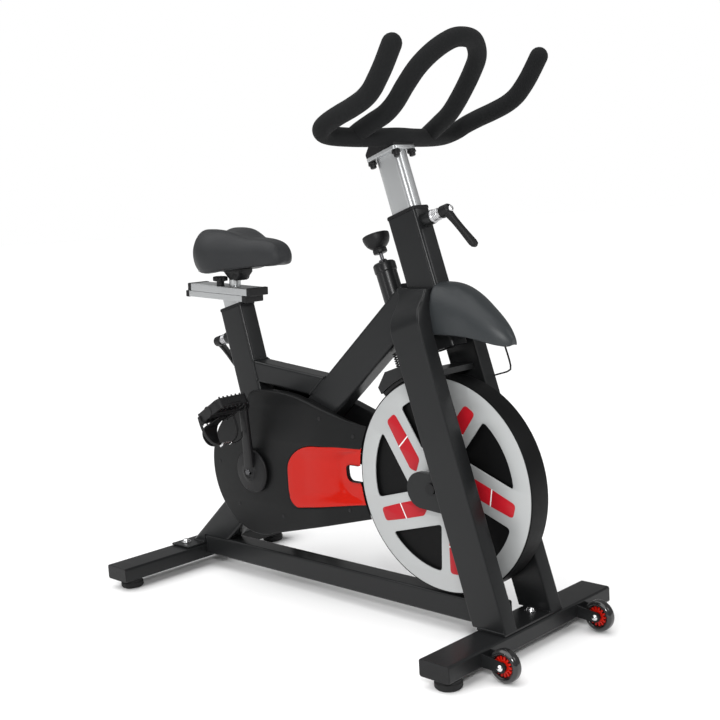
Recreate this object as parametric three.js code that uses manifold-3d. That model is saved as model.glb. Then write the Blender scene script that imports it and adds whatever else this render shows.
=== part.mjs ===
// Indoor spin bike, millimetres. +X is the way the rider faces, +Y the rider's left, +Z up.
// The origin lies on the floor, under the middle of the bike's outer box.
import * as THREE from "three";
import { mergeVertices } from "three/addons/utils/BufferGeometryUtils.js";
import Module from "manifold-3d";

const wasm = await Module();
wasm.setup();

// ---------- Driving dimensions ----------

const GAP = 0.3; // clearance left between pieces that touch

const FRAME_TUBE = { depth: 80, width: 50, radius: 8 }; // main beam, seat tube and head tube
const POST_TUBE = { depth: 66, width: 38, radius: 13 }; // both sliding posts
const POST_BORE = { depth: 72, width: 42, radius: 6 }; // inside of the tubes that hold them

const AXLE = { x: 306, z: 321 }; // flywheel axle
const WHEEL_RADIUS = 230;
const WHEEL_HALF = 28.7; // half thickness over both faces
const FACE_PLATE = 3;
const WINDOW_RADIUS = 187; // outer edge of the five windows
const SPOKE_OFFSET = 80; // width of a spoke, from its radial edge
const FIRST_SPOKE = 51; // degrees above +X
const SPOKES = 5;

const CRANK = { x: -263, z: 291 };
const CRANK_LENGTH = 170;
const CRANK_ANGLE = 7; // degrees that the right arm leans forward of upright
const PEDAL_Y = 150;
const PEDAL_TURN = { right: 150, left: -12 }; // degrees about +Y: one toe cage hangs, one stands
const CRANK_PULLEY_RADIUS = 90;
const HUB_PULLEY_RADIUS = 27;
const BELT_Y = 43.5;
const BELT_WIDTH = 16;

const BAR_HEIGHT = 35; // stabilizer bars
const BAR_BOTTOM = 23.5;
const BAR_TOP = BAR_BOTTOM + BAR_HEIGHT;
const FRONT_BAR = { x0: 438, x1: 512, half: 272 };
const REAR_BAR = { x0: -589, x1: -513, half: 275 };
const FOOT_RADIUS = 27.5;
const FEET = { frontX: 479.5, frontY: 237.5, rearX: -548, rearY: 235 };
const CASTOR = { x: 556.5, y: 161.3, z: 36, radius: 32.5, width: 24 };
const PLATE_TOP = BAR_TOP + GAP + 5; // top of both mount plates

const BOTTOM_BEAM = { z0: 36, z1: 86, width: 50 };
const BEAM_TOP_EDGE = [[-542.5, 85], [166, 697.3]]; // upper edge of the main beam
const LEG = { x: 394.7, z: 303.7, lean: 17.1, depth: 80, width: 40, y: 77, bend: 655, top: 732 };
const HEAD = { x: 254.4, z: 800, lean: 17.3 };
const SEAT = { x: -324.7, z: 600, lean: 14.5 };
const RAIL = { x: -387, z: 708, dip: 3.3 };
const BRAKE_LEAN = 18.5;

// ---------- Materials ----------

function finish(color, roughness, metalness) {
  return new THREE.MeshStandardMaterial({ color, roughness, metalness });
}
const black = () => finish(0x2a2b2c, 0.45, 0.1);
const plastic = () => finish(0x333435, 0.55, 0);
const rubber = () => finish(0x222222, 0.9, 0);
const silver = () => finish(0xc9cacb, 0.35, 0.8);
const steel = () => finish(0x9a9b9c, 0.3, 0.9);
const red = () => finish(0xd62e22, 0.2, 0);
const vinyl = () => finish(0x3a3b3d, 0.6, 0);

// ---------- Solids ----------

const bike = new THREE.Group();

// Closed geometry as a manifold-3d solid.
function solid(geometry) {
  const bare = geometry.clone();
  bare.deleteAttribute("normal");
  bare.deleteAttribute("uv");
  const merged = mergeVertices(bare, 1e-3);
  return new wasm.Manifold(
    new wasm.Mesh({
      numProp: 3,
      vertProperties: merged.attributes.position.array,
      triVerts: new Uint32Array(merged.index.array),
    }),
  );
}

// A manifold-3d solid as geometry with flat shading.
function geometryOf(body) {
  const mesh = body.getMesh();
  const geometry = new THREE.BufferGeometry();
  geometry.setAttribute("position", new THREE.BufferAttribute(mesh.vertProperties, 3));
  geometry.setIndex(new THREE.BufferAttribute(mesh.triVerts, 1));
  const flat = geometry.toNonIndexed();
  flat.computeVertexNormals();
  return flat;
}

function join(first, ...others) {
  return others.reduce((sum, other) => sum.add(solid(other)), solid(first));
}

function cut(body, ...tools) {
  return tools.reduce((rest, tool) => rest.subtract(solid(tool)), body);
}

// Adds a named mesh to the bike or to one of its groups.
function add(name, shape, material, parent = bike) {
  const geometry = shape.isBufferGeometry ? shape : geometryOf(shape);
  const mesh = new THREE.Mesh(geometry, material);
  mesh.name = name;
  parent.add(mesh);
  return mesh;
}

// A frame in the XZ plane: its own +Z leans back by the given angle in degrees.
function leaningFrame({ x, z }, lean) {
  return new THREE.Matrix4()
    .makeRotationY(THREE.MathUtils.degToRad(-lean))
    .setPosition(x, 0, z);
}

function groupAt(frame) {
  const group = new THREE.Group();
  group.applyMatrix4(frame);
  bike.add(group);
  return group;
}

function box(x0, x1, y0, y1, z0, z1) {
  return new THREE.BoxGeometry(x1 - x0, y1 - y0, z1 - z0).translate(
    (x0 + x1) / 2,
    (y0 + y1) / 2,
    (z0 + z1) / 2,
  );
}

// Points of an arc, angles in degrees.
function arc(cx, cy, radius, from, to, steps) {
  return Array.from({ length: steps + 1 }, (_, i) => {
    const angle = THREE.MathUtils.degToRad(from + ((to - from) * i) / steps);
    return new THREE.Vector2(cx + radius * Math.cos(angle), cy + radius * Math.sin(angle));
  });
}

function roundedRect(width, height, radius, steps = 3) {
  const x = width / 2 - radius;
  const y = height / 2 - radius;
  return new THREE.Shape([
    ...arc(x, y, radius, 0, 90, steps),
    ...arc(-x, y, radius, 90, 180, steps),
    ...arc(-x, -y, radius, 180, 270, steps),
    ...arc(x, -y, radius, 270, 360, steps),
  ]);
}

function extrude(shape, depth) {
  return new THREE.ExtrudeGeometry(shape, { depth, bevelEnabled: false });
}

// A rounded rectangular tube's outside along its own +Z: depth lies along X, width along Y.
function post({ depth, width, radius }, z0, z1, grow = 0) {
  const section = roundedRect(depth + 2 * grow, width + 2 * grow, radius + grow);
  return extrude(section, z1 - z0).translate(0, 0, z0);
}

// The same section between two points of the XZ plane.
function beam(from, to, section, grow = 0) {
  const along = new THREE.Vector3(to[0] - from[0], 0, to[1] - from[1]);
  const length = along.length();
  along.normalize();
  const side = new THREE.Vector3(0, 1, 0);
  const across = side.clone().cross(along);
  const frame = new THREE.Matrix4()
    .makeBasis(across, side, along)
    .setPosition(from[0], 0, from[1]);
  return post(section, 0, length, grow).applyMatrix4(frame);
}

// A cylinder or cone between two points.
function rod(from, to, radius, segments = 16, radiusTo = radius) {
  const start = new THREE.Vector3(...from);
  const end = new THREE.Vector3(...to);
  const length = start.distanceTo(end);
  const geometry = new THREE.CylinderGeometry(radiusTo, radius, length, segments);
  const turn = new THREE.Quaternion().setFromUnitVectors(
    new THREE.Vector3(0, 1, 0),
    end.clone().sub(start).normalize(),
  );
  return geometry.applyQuaternion(turn).translate(...start.add(end).multiplyScalar(0.5).toArray());
}

// A turned piece about the +Y axis: the profile's pairs are radius and place along +Y.
function turned(profile, segments) {
  const points = profile.map(([r, y]) => new THREE.Vector2(r, y));
  return new THREE.LatheGeometry(points, segments);
}

// The same piece standing on +Z.
function turnedUp(profile, segments) {
  return turned(profile, segments).rotateX(Math.PI / 2);
}

// A flat outline in the XZ plane, thick from y0 to y1.
function plate(points, y0, y1, holes = []) {
  const shape = new THREE.Shape(points);
  holes.forEach((hole) => shape.holes.push(new THREE.Path(hole)));
  const frame = new THREE.Matrix4()
    .makeBasis(new THREE.Vector3(1, 0, 0), new THREE.Vector3(0, 0, 1), new THREE.Vector3(0, -1, 0))
    .setPosition(0, y1, 0);
  return extrude(shape, y1 - y0).applyMatrix4(frame);
}

// A round bar swept along a smooth curve through the points.
function sweep(points, radius, steps, sides = 8) {
  const curve = new THREE.CatmullRomCurve3(points, false, "centripetal");
  return new THREE.ExtrudeGeometry(new THREE.Shape(arc(0, 0, radius, 0, 360, sides).slice(1)), {
    steps,
    extrudePath: curve,
    bevelEnabled: false,
  });
}

const outline = (pairs) => pairs.map(([x, y]) => new THREE.Vector2(x, y));
const sideName = (side) => (side < 0 ? "right" : "left");
const BOTH_SIDES = [-1, 1];

// ---------- Frame ----------

const headFrame = leaningFrame(HEAD, HEAD.lean);
const seatFrame = leaningFrame(SEAT, SEAT.lean);
const railFrame = leaningFrame(RAIL, -RAIL.dip);
const brakeFrame = leaningFrame(AXLE, BRAKE_LEAN);

const HEAD_TOP = 86;
const HEAD_BOTTOM = -204;
const SEAT_TOP = 80;
const SEAT_BOTTOM = -290;
const BRAKE_TUBE = { radius: 23, bottom: 316, top: 487 };

const headOuter = (grow = 0) =>
  post(FRAME_TUBE, HEAD_BOTTOM, HEAD_TOP, grow).applyMatrix4(headFrame);
const seatOuter = (grow = 0) =>
  post(FRAME_TUBE, SEAT_BOTTOM, SEAT_TOP, grow).applyMatrix4(seatFrame);

// Centre line of the main beam, from its visible upper edge.
const [lowEdge, highEdge] = BEAM_TOP_EDGE;
const beamSlope = Math.atan2(highEdge[1] - lowEdge[1], highEdge[0] - lowEdge[0]);
function onBeam(edge, further) {
  const half = FRAME_TUBE.depth / 2;
  return [
    edge[0] + half * Math.sin(beamSlope) + further * Math.cos(beamSlope),
    edge[1] - half * Math.cos(beamSlope) + further * Math.sin(beamSlope),
  ];
}
const beamOuter = (grow = 0) =>
  beam(onBeam(lowEdge, -70), onBeam(highEdge, 66), FRAME_TUBE, grow);

const bottomBeam = (grow = 0) =>
  box(
    REAR_BAR.x1 + GAP - grow,
    FRONT_BAR.x0 - GAP + grow,
    -BOTTOM_BEAM.width / 2 - grow,
    BOTTOM_BEAM.width / 2 + grow,
    BOTTOM_BEAM.z0 - grow,
    BOTTOM_BEAM.z1 + grow,
  );

function addMainBeam() {
  const shell = rod([CRANK.x, -34, CRANK.z], [CRANK.x, 34, CRANK.z], 25, 20);
  const shellBore = rod([CRANK.x, -40, CRANK.z], [CRANK.x, 40, CRANK.z], 20, 20);
  const tubeHole = rod([0, 0, 250], [0, 0, 480], BRAKE_TUBE.radius + GAP + 0.5, 20);
  const belowPlate = box(-700, -300, -60, 60, -100, PLATE_TOP + GAP);
  const body = cut(
    join(beamOuter(), shell),
    shellBore,
    tubeHole.applyMatrix4(brakeFrame),
    headOuter(GAP),
    belowPlate,
    bottomBeam(GAP),
  );
  add("main_beam", body, black());
}

function addSeatTube() {
  const boss = rod([-38, 0, 18], [-62, 0, 18], 15);
  const bore = post(POST_BORE, -235, SEAT_TOP + 10);
  const studHole = rod([-10, 0, 18], [-70, 0, 18], 6 + GAP, 12);
  const body = cut(
    join(seatOuter(), boss.applyMatrix4(seatFrame)),
    bore.applyMatrix4(seatFrame),
    studHole.applyMatrix4(seatFrame),
    beamOuter(GAP),
    box(-400, -100, -60, 60, 0, CRANK.z + 26),
  );
  add("seat_tube", body, black());
}

function addBrace() {
  const section = { depth: 50, width: 50, radius: 6 };
  const body = cut(
    solid(beam([-300, 532], [22, 497], section)),
    seatOuter(GAP),
    beamOuter(GAP),
  );
  add("seat_brace", body, black());
}

function addHeadTube() {
  const boss = rod([38, 0, 60], [62, 0, 60], 15);
  const body = cut(
    join(post(FRAME_TUBE, HEAD_BOTTOM, HEAD_TOP), boss),
    post(POST_BORE, HEAD_BOTTOM - 10, HEAD_TOP + 10),
    rod([10, 0, 60], [70, 0, 60], 6 + GAP, 12),
  );
  add("head_tube", body, black(), groupAt(headFrame));
}

// One fork leg: a flat tube that bends in towards the head tube, with the axle plate behind it.
function addLeg(side) {
  const lean = THREE.MathUtils.degToRad(LEG.lean);
  const along = (z) => (z - LEG.z) / Math.cos(lean);
  const half = LEG.width / 2;
  const tubeSide = FRAME_TUBE.width / 2 + GAP;
  const outer = [[97, 0], [92, 17], [84, 30], [71, 42], [58, 53], [48, 64], [42, 76], [40, 95]];
  const inner = [[tubeSide, 95], [tubeSide, 40], [31, 29], [42, 16], [52, 2], [57, -14]];
  const bent = [...outer, ...inner].map(([y, above]) => [y, along(LEG.bend + above)]);
  const foot = [[LEG.y - half, along(20)], [LEG.y + half, along(20)]];
  const strip = new THREE.Shape(outline([...foot, ...bent].map(([y, s]) => [side * y, s])));
  const round = 4;
  const tube = new THREE.ExtrudeGeometry(strip, {
    depth: LEG.depth - 2 * round,
    bevelThickness: round,
    bevelSize: round,
    bevelOffset: -round,
    bevelSegments: 2,
  });
  const frame = new THREE.Matrix4()
    .makeBasis(
      new THREE.Vector3(0, 1, 0),
      new THREE.Vector3(-Math.sin(lean), 0, Math.cos(lean)),
      new THREE.Vector3(Math.cos(lean), 0, Math.sin(lean)),
    )
    .setPosition(LEG.x, 0, LEG.z);
  tube.translate(0, 0, round - LEG.depth / 2).applyMatrix4(frame);
  const earOutline = [...arc(275, 313, 39, 84, 262, 12), ...outline([[376, 268], [376, 346]])];
  const [y0, y1] = side < 0 ? [-57.6, -46] : [57.2, 66];
  const hole = rod([AXLE.x, side * 40, AXLE.z], [AXLE.x, side * 90, AXLE.z], 7.5 + GAP);
  const body = cut(
    join(tube, plate(earOutline, y0, y1)),
    hole,
    box(300, 600, -120, 120, 0, PLATE_TOP + GAP),
    box(100, 400, -120, 120, LEG.top, LEG.top + 80),
  );
  add(`fork_leg_${sideName(side)}`, body, black());
}

function addCrossPlate() {
  const reach = LEG.y - LEG.width / 2 - GAP;
  add("leg_cross_plate", box(298, 338, -reach, reach, 557, 569), black());
}

// ---------- Base ----------

const crossBar = ({ x0, x1, half }) =>
  extrude(roundedRect(x1 - x0, BAR_HEIGHT, 5), 2 * half)
    .rotateX(Math.PI / 2)
    .translate((x0 + x1) / 2, half, BAR_BOTTOM + BAR_HEIGHT / 2);

const PLATES = {
  front: { x0: 439, x1: 509, half: 98, boltX: 470, boltY: 42 },
  rear: { x0: -588, x1: -518, half: 78, boltX: -562, boltY: 50 },
};
const BOLT_RADIUS = 5;

function mountHoles(where) {
  const { boltX, boltY } = PLATES[where];
  return BOTH_SIDES.map((side) =>
    rod([boltX, side * boltY, 36], [boltX, side * boltY, 80], BOLT_RADIUS + GAP, 10),
  );
}

function footHoles(x, y) {
  return BOTH_SIDES.map((side) => rod([x, side * y, 10], [x, side * y, 44], 5 + GAP, 10));
}

// Both cheeks that hold one transport wheel, with the riveted axle across them.
function castorFork(side) {
  const middle = side * CASTOR.y;
  const inside = CASTOR.width / 2 + 1.5;
  const cheek = [
    ...outline([[FRONT_BAR.x1 - 4, BAR_TOP - 5], [FRONT_BAR.x1 - 4, BAR_BOTTOM + 4]]),
    ...arc(CASTOR.x, CASTOR.z, 11, -100, 75, 6),
  ];
  const cheeks = BOTH_SIDES.map((s) => {
    const near = middle + s * inside;
    const far = near + s * 3;
    return plate(cheek, Math.min(near, far), Math.max(near, far));
  });
  const reach = inside + 6;
  const pin = rod([CASTOR.x, middle - reach, CASTOR.z], [CASTOR.x, middle + reach, CASTOR.z], 4, 10);
  return [...cheeks, pin];
}

function addBase() {
  const forks = BOTH_SIDES.flatMap(castorFork);
  const front = join(crossBar(FRONT_BAR), ...forks);
  const frontHoles = [...mountHoles("front"), ...footHoles(FEET.frontX, FEET.frontY)];
  add("front_stabilizer", cut(front, ...frontHoles), black());
  const rearHoles = [...mountHoles("rear"), ...footHoles(FEET.rearX, FEET.rearY)];
  add("rear_stabilizer", cut(solid(crossBar(REAR_BAR)), ...rearHoles), black());
  add("bottom_beam", bottomBeam(), black());
  for (const [where, { x0, x1, half, boltX, boltY }] of Object.entries(PLATES)) {
    const sheet = box(x0, x1, -half, half, BAR_TOP + GAP, PLATE_TOP);
    add(`${where}_mount_plate`, cut(solid(sheet), ...mountHoles(where)), black());
    BOTH_SIDES.forEach((side) => {
      const bolt = turnedUp([[0, -22], [5, -22], [5, 0], [10, 0], [8, 6], [0, 9]], 10);
      bolt.translate(boltX, side * boltY, PLATE_TOP + GAP);
      add(`${where}_mount_bolt_${sideName(side)}`, bolt, steel());
    });
  }
}

// Outline of a levelling foot with its threaded stud.
const FOOT_PROFILE = [
  [0, 0], [24, 0], [FOOT_RADIUS, 6], [26, BAR_BOTTOM - GAP], [5, BAR_BOTTOM - GAP], [5, 40], [0, 40],
];

function addFeet() {
  BOTH_SIDES.forEach((side) => {
    const front = add(`front_foot_${sideName(side)}`, turnedUp(FOOT_PROFILE, 20), rubber());
    front.position.set(FEET.frontX, side * FEET.frontY, 0);
    const rear = add(`rear_foot_${sideName(side)}`, turnedUp(FOOT_PROFILE, 20), rubber());
    rear.position.set(FEET.rearX, side * FEET.rearY, 0);
  });
}

function addCastors() {
  const { radius, width } = CASTOR;
  const half = width / 2;
  const profile = [
    [4 + GAP, -half + 3], [22, -half + 3], [24, -half], [radius - 4, -half], [radius, -half + 6],
    [radius, half - 6], [radius - 4, half], [24, half], [22, half - 3], [4 + GAP, half - 3],
    [4 + GAP, -half + 3],
  ];
  BOTH_SIDES.forEach((side) => {
    const wheel = add(`transport_wheel_${sideName(side)}`, turned(profile, 16), rubber());
    wheel.position.set(CASTOR.x, side * CASTOR.y, CASTOR.z);
  });
}

// ---------- Flywheel ----------

function addFlywheel() {
  const rimHalf = WHEEL_HALF - FACE_PLATE - GAP;
  const profile = [
    [7.5 + GAP, -rimHalf - 9], [20, -rimHalf - 9], [20, -19], [190, -19], [190, -rimHalf],
    [WHEEL_RADIUS, -rimHalf], [WHEEL_RADIUS, rimHalf], [190, rimHalf], [190, 19], [20, 19],
    [20, rimHalf], [7.5 + GAP, rimHalf], [7.5 + GAP, -rimHalf - 9],
  ];
  const wheel = add("flywheel", turned(profile, 40), black());
  wheel.position.set(AXLE.x, 0, AXLE.z);
}

// The spoked face: five windows, each between one spoke's radial edge and the next spoke's far edge.
function spokeWindow(angle) {
  const inner = SPOKE_OFFSET / Math.sin(THREE.MathUtils.degToRad(360 / SPOKES));
  const reach = THREE.MathUtils.radToDeg(Math.asin(SPOKE_OFFSET / WINDOW_RADIUS));
  const from = angle - 360 / SPOKES + reach;
  const turn = THREE.MathUtils.degToRad(angle);
  const tip = new THREE.Vector2(inner * Math.cos(turn), inner * Math.sin(turn));
  const rim = arc(0, 0, WINDOW_RADIUS, from, angle, 7);
  return [tip, ...rim];
}

function addFace() {
  const windows = Array.from({ length: SPOKES }, (_, i) =>
    spokeWindow(FIRST_SPOKE + (i * 360) / SPOKES),
  );
  const hub = arc(0, 0, 21, 0, 360, 16).slice(1);
  const circle = arc(0, 0, WHEEL_RADIUS - 2.5, 0, 360, 40).slice(1);
  const face = plate(circle, -WHEEL_HALF, -WHEEL_HALF + FACE_PLATE, [hub, ...windows]);
  const mesh = add("flywheel_face", face, silver());
  mesh.position.set(AXLE.x, 0, AXLE.z);
}

function addAxle() {
  const nut = 12;
  const profile = [
    [0, -66], [nut, -66], [nut, -58], [7.5, -58], [7.5, 66.4], [nut, 66.4], [nut, 74], [0, 74],
  ];
  const axle = add("flywheel_axle", turned(profile, 12), steel());
  axle.position.set(AXLE.x, 0, AXLE.z);
}

// A pulley with two low flanges beside the belt.
function pulley(radius, bore, segments) {
  const half = BELT_WIDTH / 2 + 1;
  return turned(
    [
      [bore, -half], [radius + 3, -half], [radius, -half + 0.9], [radius, half - 0.9],
      [radius + 3, half], [bore, half], [bore, -half],
    ],
    segments,
  );
}

// The belt's outline around both pulleys, at a given distance outside their faces.
function beltLoop(out) {
  const dx = AXLE.x - CRANK.x;
  const dz = AXLE.z - CRANK.z;
  const base = THREE.MathUtils.radToDeg(Math.atan2(dz, dx));
  const spread = Math.acos((CRANK_PULLEY_RADIUS - HUB_PULLEY_RADIUS) / Math.hypot(dx, dz));
  const lean = THREE.MathUtils.radToDeg(spread);
  return [
    ...arc(CRANK.x, CRANK.z, CRANK_PULLEY_RADIUS + out, base + lean, base + 360 - lean, 26),
    ...arc(AXLE.x, AXLE.z, HUB_PULLEY_RADIUS + out, base - lean, base + lean, 10),
  ];
}

function addDrive() {
  const big = add("crank_pulley", pulley(CRANK_PULLEY_RADIUS, 13.3, 36), steel());
  big.position.set(CRANK.x, BELT_Y, CRANK.z);
  const small = add("hub_pulley", pulley(HUB_PULLEY_RADIUS, 7.5 + GAP, 24), steel());
  small.position.set(AXLE.x, BELT_Y, AXLE.z);
  const half = BELT_WIDTH / 2 - 1;
  const belt = plate(beltLoop(0.5 + 3.5), BELT_Y - half, BELT_Y + half, [beltLoop(0.5)]);
  add("drive_belt", belt, rubber());
}

// ---------- Covers ----------

const COVER_RADIUS = 160;

// Outline shared by both belt covers: round behind the crank, then along the drive.
function coverOutline(inset, front) {
  const round = arc(CRANK.x, CRANK.z, COVER_RADIUS - inset, 283, 102, 18);
  const top = outline([[-270, 478], [-242, 488], [-159, 489], [-105, 482]]);
  return [...round, ...top.map((p) => p.add(new THREE.Vector2(inset * 0.3, -inset))), ...front];
}

function rightCoverOutline(inset) {
  const radius = WHEEL_RADIUS + 6 + inset;
  return coverOutline(inset, [
    ...outline([[-27, 459 - inset], [40, 437 - inset], [80, 429 - inset]]),
    ...arc(AXLE.x, AXLE.z, radius, 152.5, 206.5, 8),
  ]);
}

function leftCoverOutline(inset) {
  return coverOutline(inset, [
    ...outline([[-2, 466 - inset], [56, 447 - inset]]),
    ...arc(AXLE.x, AXLE.z, 48 - inset, 72, -84, 10),
  ]);
}

const INSERT = { x0: -147, z0: 218, z1: 366 };

// The rounded plan of the glossy insert, cut off by the flywheel at its front end.
function insertOutline(inset) {
  const { x0, z0, z1 } = INSERT;
  const low = z0 + inset;
  const high = z1 - inset;
  const back = x0 + inset;
  return [
    ...arc(back + 58, high - 58, 58, 94, 180, 6),
    ...arc(back + 34, low + 34, 34, 180, 260, 5),
    ...outline([[60, low + 27]]),
    ...arc(AXLE.x, AXLE.z, WHEEL_RADIUS + 6.5 + inset, 198.2 - inset * 0.2, 166 + inset * 0.2, 6),
  ];
}

const HAND_HOLE = { x0: 23, x1: 110, z0: 289, z1: 338, farX: -80 };

// Everything outside the slanting plane that narrows the right cover towards the flywheel.
function taper(inward) {
  return box(-700, 700, -60, 0, -100, 900)
    .rotateZ(THREE.MathUtils.degToRad(7.9))
    .translate(-40, inward - 50, 0);
}

function addRightCover() {
  const outer = plate(rightCoverOutline(0), -50, -FRAME_TUBE.width / 2 - GAP);
  const pocket = cut(solid(plate(rightCoverOutline(4), -46, -20)), taper(4));
  const spindle = rod([CRANK.x, -60, CRANK.z], [CRANK.x, -40, CRANK.z], 30, 20);
  const window = plate(insertOutline(-GAP), -60, -10);
  const ahead = window.clone().translate(12, 0, 0);
  const body = cut(solid(outer), spindle, taper(0), window, ahead).subtract(pocket);
  add("belt_cover_right", body, plastic());
}

function addLeftCover() {
  const outer = plate(leftCoverOutline(0), 30.5, 56);
  const pocket = plate(leftCoverOutline(3.5), 27, 53);
  const spindle = rod([CRANK.x, 50, CRANK.z], [CRANK.x, 60, CRANK.z], 26, 24);
  const axle = rod([AXLE.x, 50, AXLE.z], [AXLE.x, 60, AXLE.z], 12, 16);
  const { farX, x1, z0, z1 } = HAND_HOLE;
  const hole = box(farX, x1, 20, 60, z0 - 27, z1 + 7);
  add("belt_cover_left", cut(solid(outer), pocket, spindle, axle, hole), plastic());
}

// The glossy insert: a shallow dish with a funnel down to a hole right through.
function addInsert() {
  const depthIn = -FRAME_TUBE.width / 2 - GAP;
  const { x0, x1, z0, z1 } = HAND_HOLE;
  const dish = solid(plate(insertOutline(0), -50, depthIn));
  const hollow = cut(solid(plate(insertOutline(16), -60, -20)), box(-700, 700, depthIn - 3, 0, -100, 900));
  const body = cut(dish, taper(1), box(x0, x1, -60, 0, z0, z1)).subtract(hollow);
  add("cover_insert", body, red());
}

// ---------- Crank and pedals ----------

// Where a crank arm ends: +1 for the right arm, -1 for the left one, half a turn away.
function crankEnd(sign) {
  const angle = THREE.MathUtils.degToRad(CRANK_ANGLE);
  return {
    x: CRANK.x + sign * CRANK_LENGTH * Math.sin(angle),
    z: CRANK.z + sign * CRANK_LENGTH * Math.cos(angle),
  };
}

function addCrankArm(side) {
  const end = crankEnd(-side);
  const y = (value) => side * value;
  const rootDisc = rod([CRANK.x, y(57), CRANK.z], [CRANK.x, y(63), CRANK.z], 53, 28, 50);
  const hub = rod([CRANK.x, y(60), CRANK.z], [CRANK.x, y(70), CRANK.z], 19, 14, 17);
  const reach = new THREE.Vector3(end.x - CRANK.x, y(26), end.z - CRANK.z);
  const length = reach.length();
  const along = reach.clone().normalize();
  const across = new THREE.Vector3(0, side, 0).cross(along).normalize();
  const out = along.clone().cross(across);
  const frame = new THREE.Matrix4()
    .makeBasis(across, out, along)
    .setPosition(CRANK.x, y(64), CRANK.z);
  const arm = extrude(roundedRect(29, 13, 4), length).applyMatrix4(frame);
  const eye = rod([end.x, y(83), end.z], [end.x, y(97), end.z], 16, 14);
  const axle = rod([end.x, y(90), end.z], [end.x, y(190), end.z], 6, 8);
  const bore = rod([CRANK.x, y(40), CRANK.z], [CRANK.x, y(62), CRANK.z], 9 + GAP, 12);
  add(`crank_arm_${sideName(side)}`, cut(join(rootDisc, hub, arm, eye, axle), bore), steel());
}

function addCrank() {
  const spindle = turned([[0, -61], [9, -61], [9, 36], [13, 36], [13, 51], [9, 51], [9, 61], [0, 61]], 12);
  add("crank_spindle", spindle, steel()).position.set(CRANK.x, 0, CRANK.z);
  const cartridge = turned([[9.4, -33], [19.5, -33], [19.5, 33], [9.4, 33], [9.4, -33]], 20);
  add("bottom_bracket_bearing", cartridge, steel()).position.set(CRANK.x, 0, CRANK.z);
  BOTH_SIDES.forEach(addCrankArm);
}

const PEDAL = { length: 96, width: 92, thick: 24, bore: 7 };

// Platform of a pedal in its own frame: +X towards the toes, +Z up, +Y away from the crank.
function pedalBody() {
  const { length, width, thick, bore } = PEDAL;
  const block = extrude(roundedRect(length, width, 12), thick).translate(0, 0, -thick / 2);
  const slot = (x0, x1) => box(x0, x1, -width / 2 + 12, width / 2 - 12, -20, 20);
  const hole = rod([0, -60, 0], [0, 60, 0], bore, 10);
  return cut(solid(block), slot(-36, -14), slot(14, 36), hole);
}

// Toe cage: a bent strap that rises from the front of the platform and closes over the toes.
function toeCage() {
  const half = PEDAL.thick / 2 + GAP;
  const band = outline([
    [20, half], [66, half], [80, half + 12], [84, half + 36], [70, half + 56], [30, half + 62],
    [30, half + 58], [67, half + 52], [79.5, half + 35], [76, half + 14], [64, half + 4], [20, half + 4],
  ]);
  const toe = plate(band, -21, 21);
  const strap = outline([
    [34, half + 62], [46, half + 62], [46, half + 58.5], [34, half + 58.5],
  ]);
  const across = plate(strap, -50, 50);
  const legs = BOTH_SIDES.map((s) =>
    box(34, 46, s < 0 ? -50 : 47.5, s < 0 ? -47.5 : 50, 0, half + 62),
  );
  return join(toe, across, ...legs);
}

function addPedal(side) {
  const { x, z } = crankEnd(-side);
  const group = groupAt(
    new THREE.Matrix4()
      .makeRotationY(THREE.MathUtils.degToRad(PEDAL_TURN[sideName(side)]))
      .setPosition(x, side * PEDAL_Y, z),
  );
  add(`pedal_${sideName(side)}`, pedalBody(), plastic(), group);
  add(`toe_cage_${sideName(side)}`, toeCage(), plastic(), group);
}

// ---------- Seat ----------

const RAIL_SECTION = { back: -119, front: 105, width: 54, height: 15 };
const SLIDER = { back: -108, front: 121 };

function addSeatPost() {
  const group = groupAt(seatFrame);
  const toSeat = seatFrame.clone().invert().multiply(railFrame);
  const above = box(-300, 300, -60, 60, -RAIL_SECTION.height / 2 - GAP, 120).applyMatrix4(toSeat);
  add("seat_post", cut(solid(post(POST_TUBE, -205, 160)), above), silver(), group);
  const sleeve = cut(
    join(
      post({ ...POST_BORE, radius: 5.5 }, SEAT_TOP - 40, SEAT_TOP + 3, -GAP),
      post(FRAME_TUBE, SEAT_TOP + GAP, SEAT_TOP + 7, 1.5),
    ),
    post(POST_TUBE, 0, 200, GAP),
    rod([-10, 0, 18], [-70, 0, 18], 9, 12),
  );
  add("seat_collar", sleeve, plastic(), group);
}

// Fixed rail with a slot, and the slider whose tongue runs in it.
function addRail() {
  const { back, front, width, height } = RAIL_SECTION;
  const group = groupAt(railFrame);
  const slot = box(-200, 200, -7, 7, -1, 20);
  const rail = box(back, front, -width / 2, width / 2, -height / 2, height / 2);
  add("seat_rail", cut(solid(rail), slot), silver(), group);
  const low = height / 2 + GAP;
  const stub = (grow) => rod([38, 0, low + 10], [38, 0, low + 42 + grow], 14.3 + grow, 16);
  const slider = join(
    stub(0),
    box(SLIDER.back, SLIDER.front, -29, 29, low, low + 18),
    box(-49, 66, -6, 6, 0, low + 1),
  );
  const knobHole = rod([6, -20, 0], [6, -20, 40], 5 + GAP, 12);
  add("seat_slider", cut(slider, knobHole), silver(), group);
  const clamp = join(
    extrude(roundedRect(73, 50, 12), 16).translate(63, 0, low + 34),
    extrude(roundedRect(90, 36, 10), 8).translate(63, 0, low + 48),
  );
  add("saddle_clamp", cut(clamp, stub(GAP)), plastic(), group);
  const lobes = 8;
  const star = Array.from({ length: lobes * 2 }, (_, i) => {
    const angle = (i * Math.PI) / lobes;
    const r = 16.8 + (i % 2);
    return new THREE.Vector2(r * Math.cos(angle), r * Math.sin(angle));
  });
  const knob = join(
    extrude(new THREE.Shape(star), 11).translate(6, -20, low + 30),
    rod([6, -20, low + 18 + GAP], [6, -20, low + 31], 9, 12),
    rod([6, -20, low + 4], [6, -20, low + 20], 5, 10),
  );
  add("seat_slide_knob", knob, plastic(), group);
}

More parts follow.
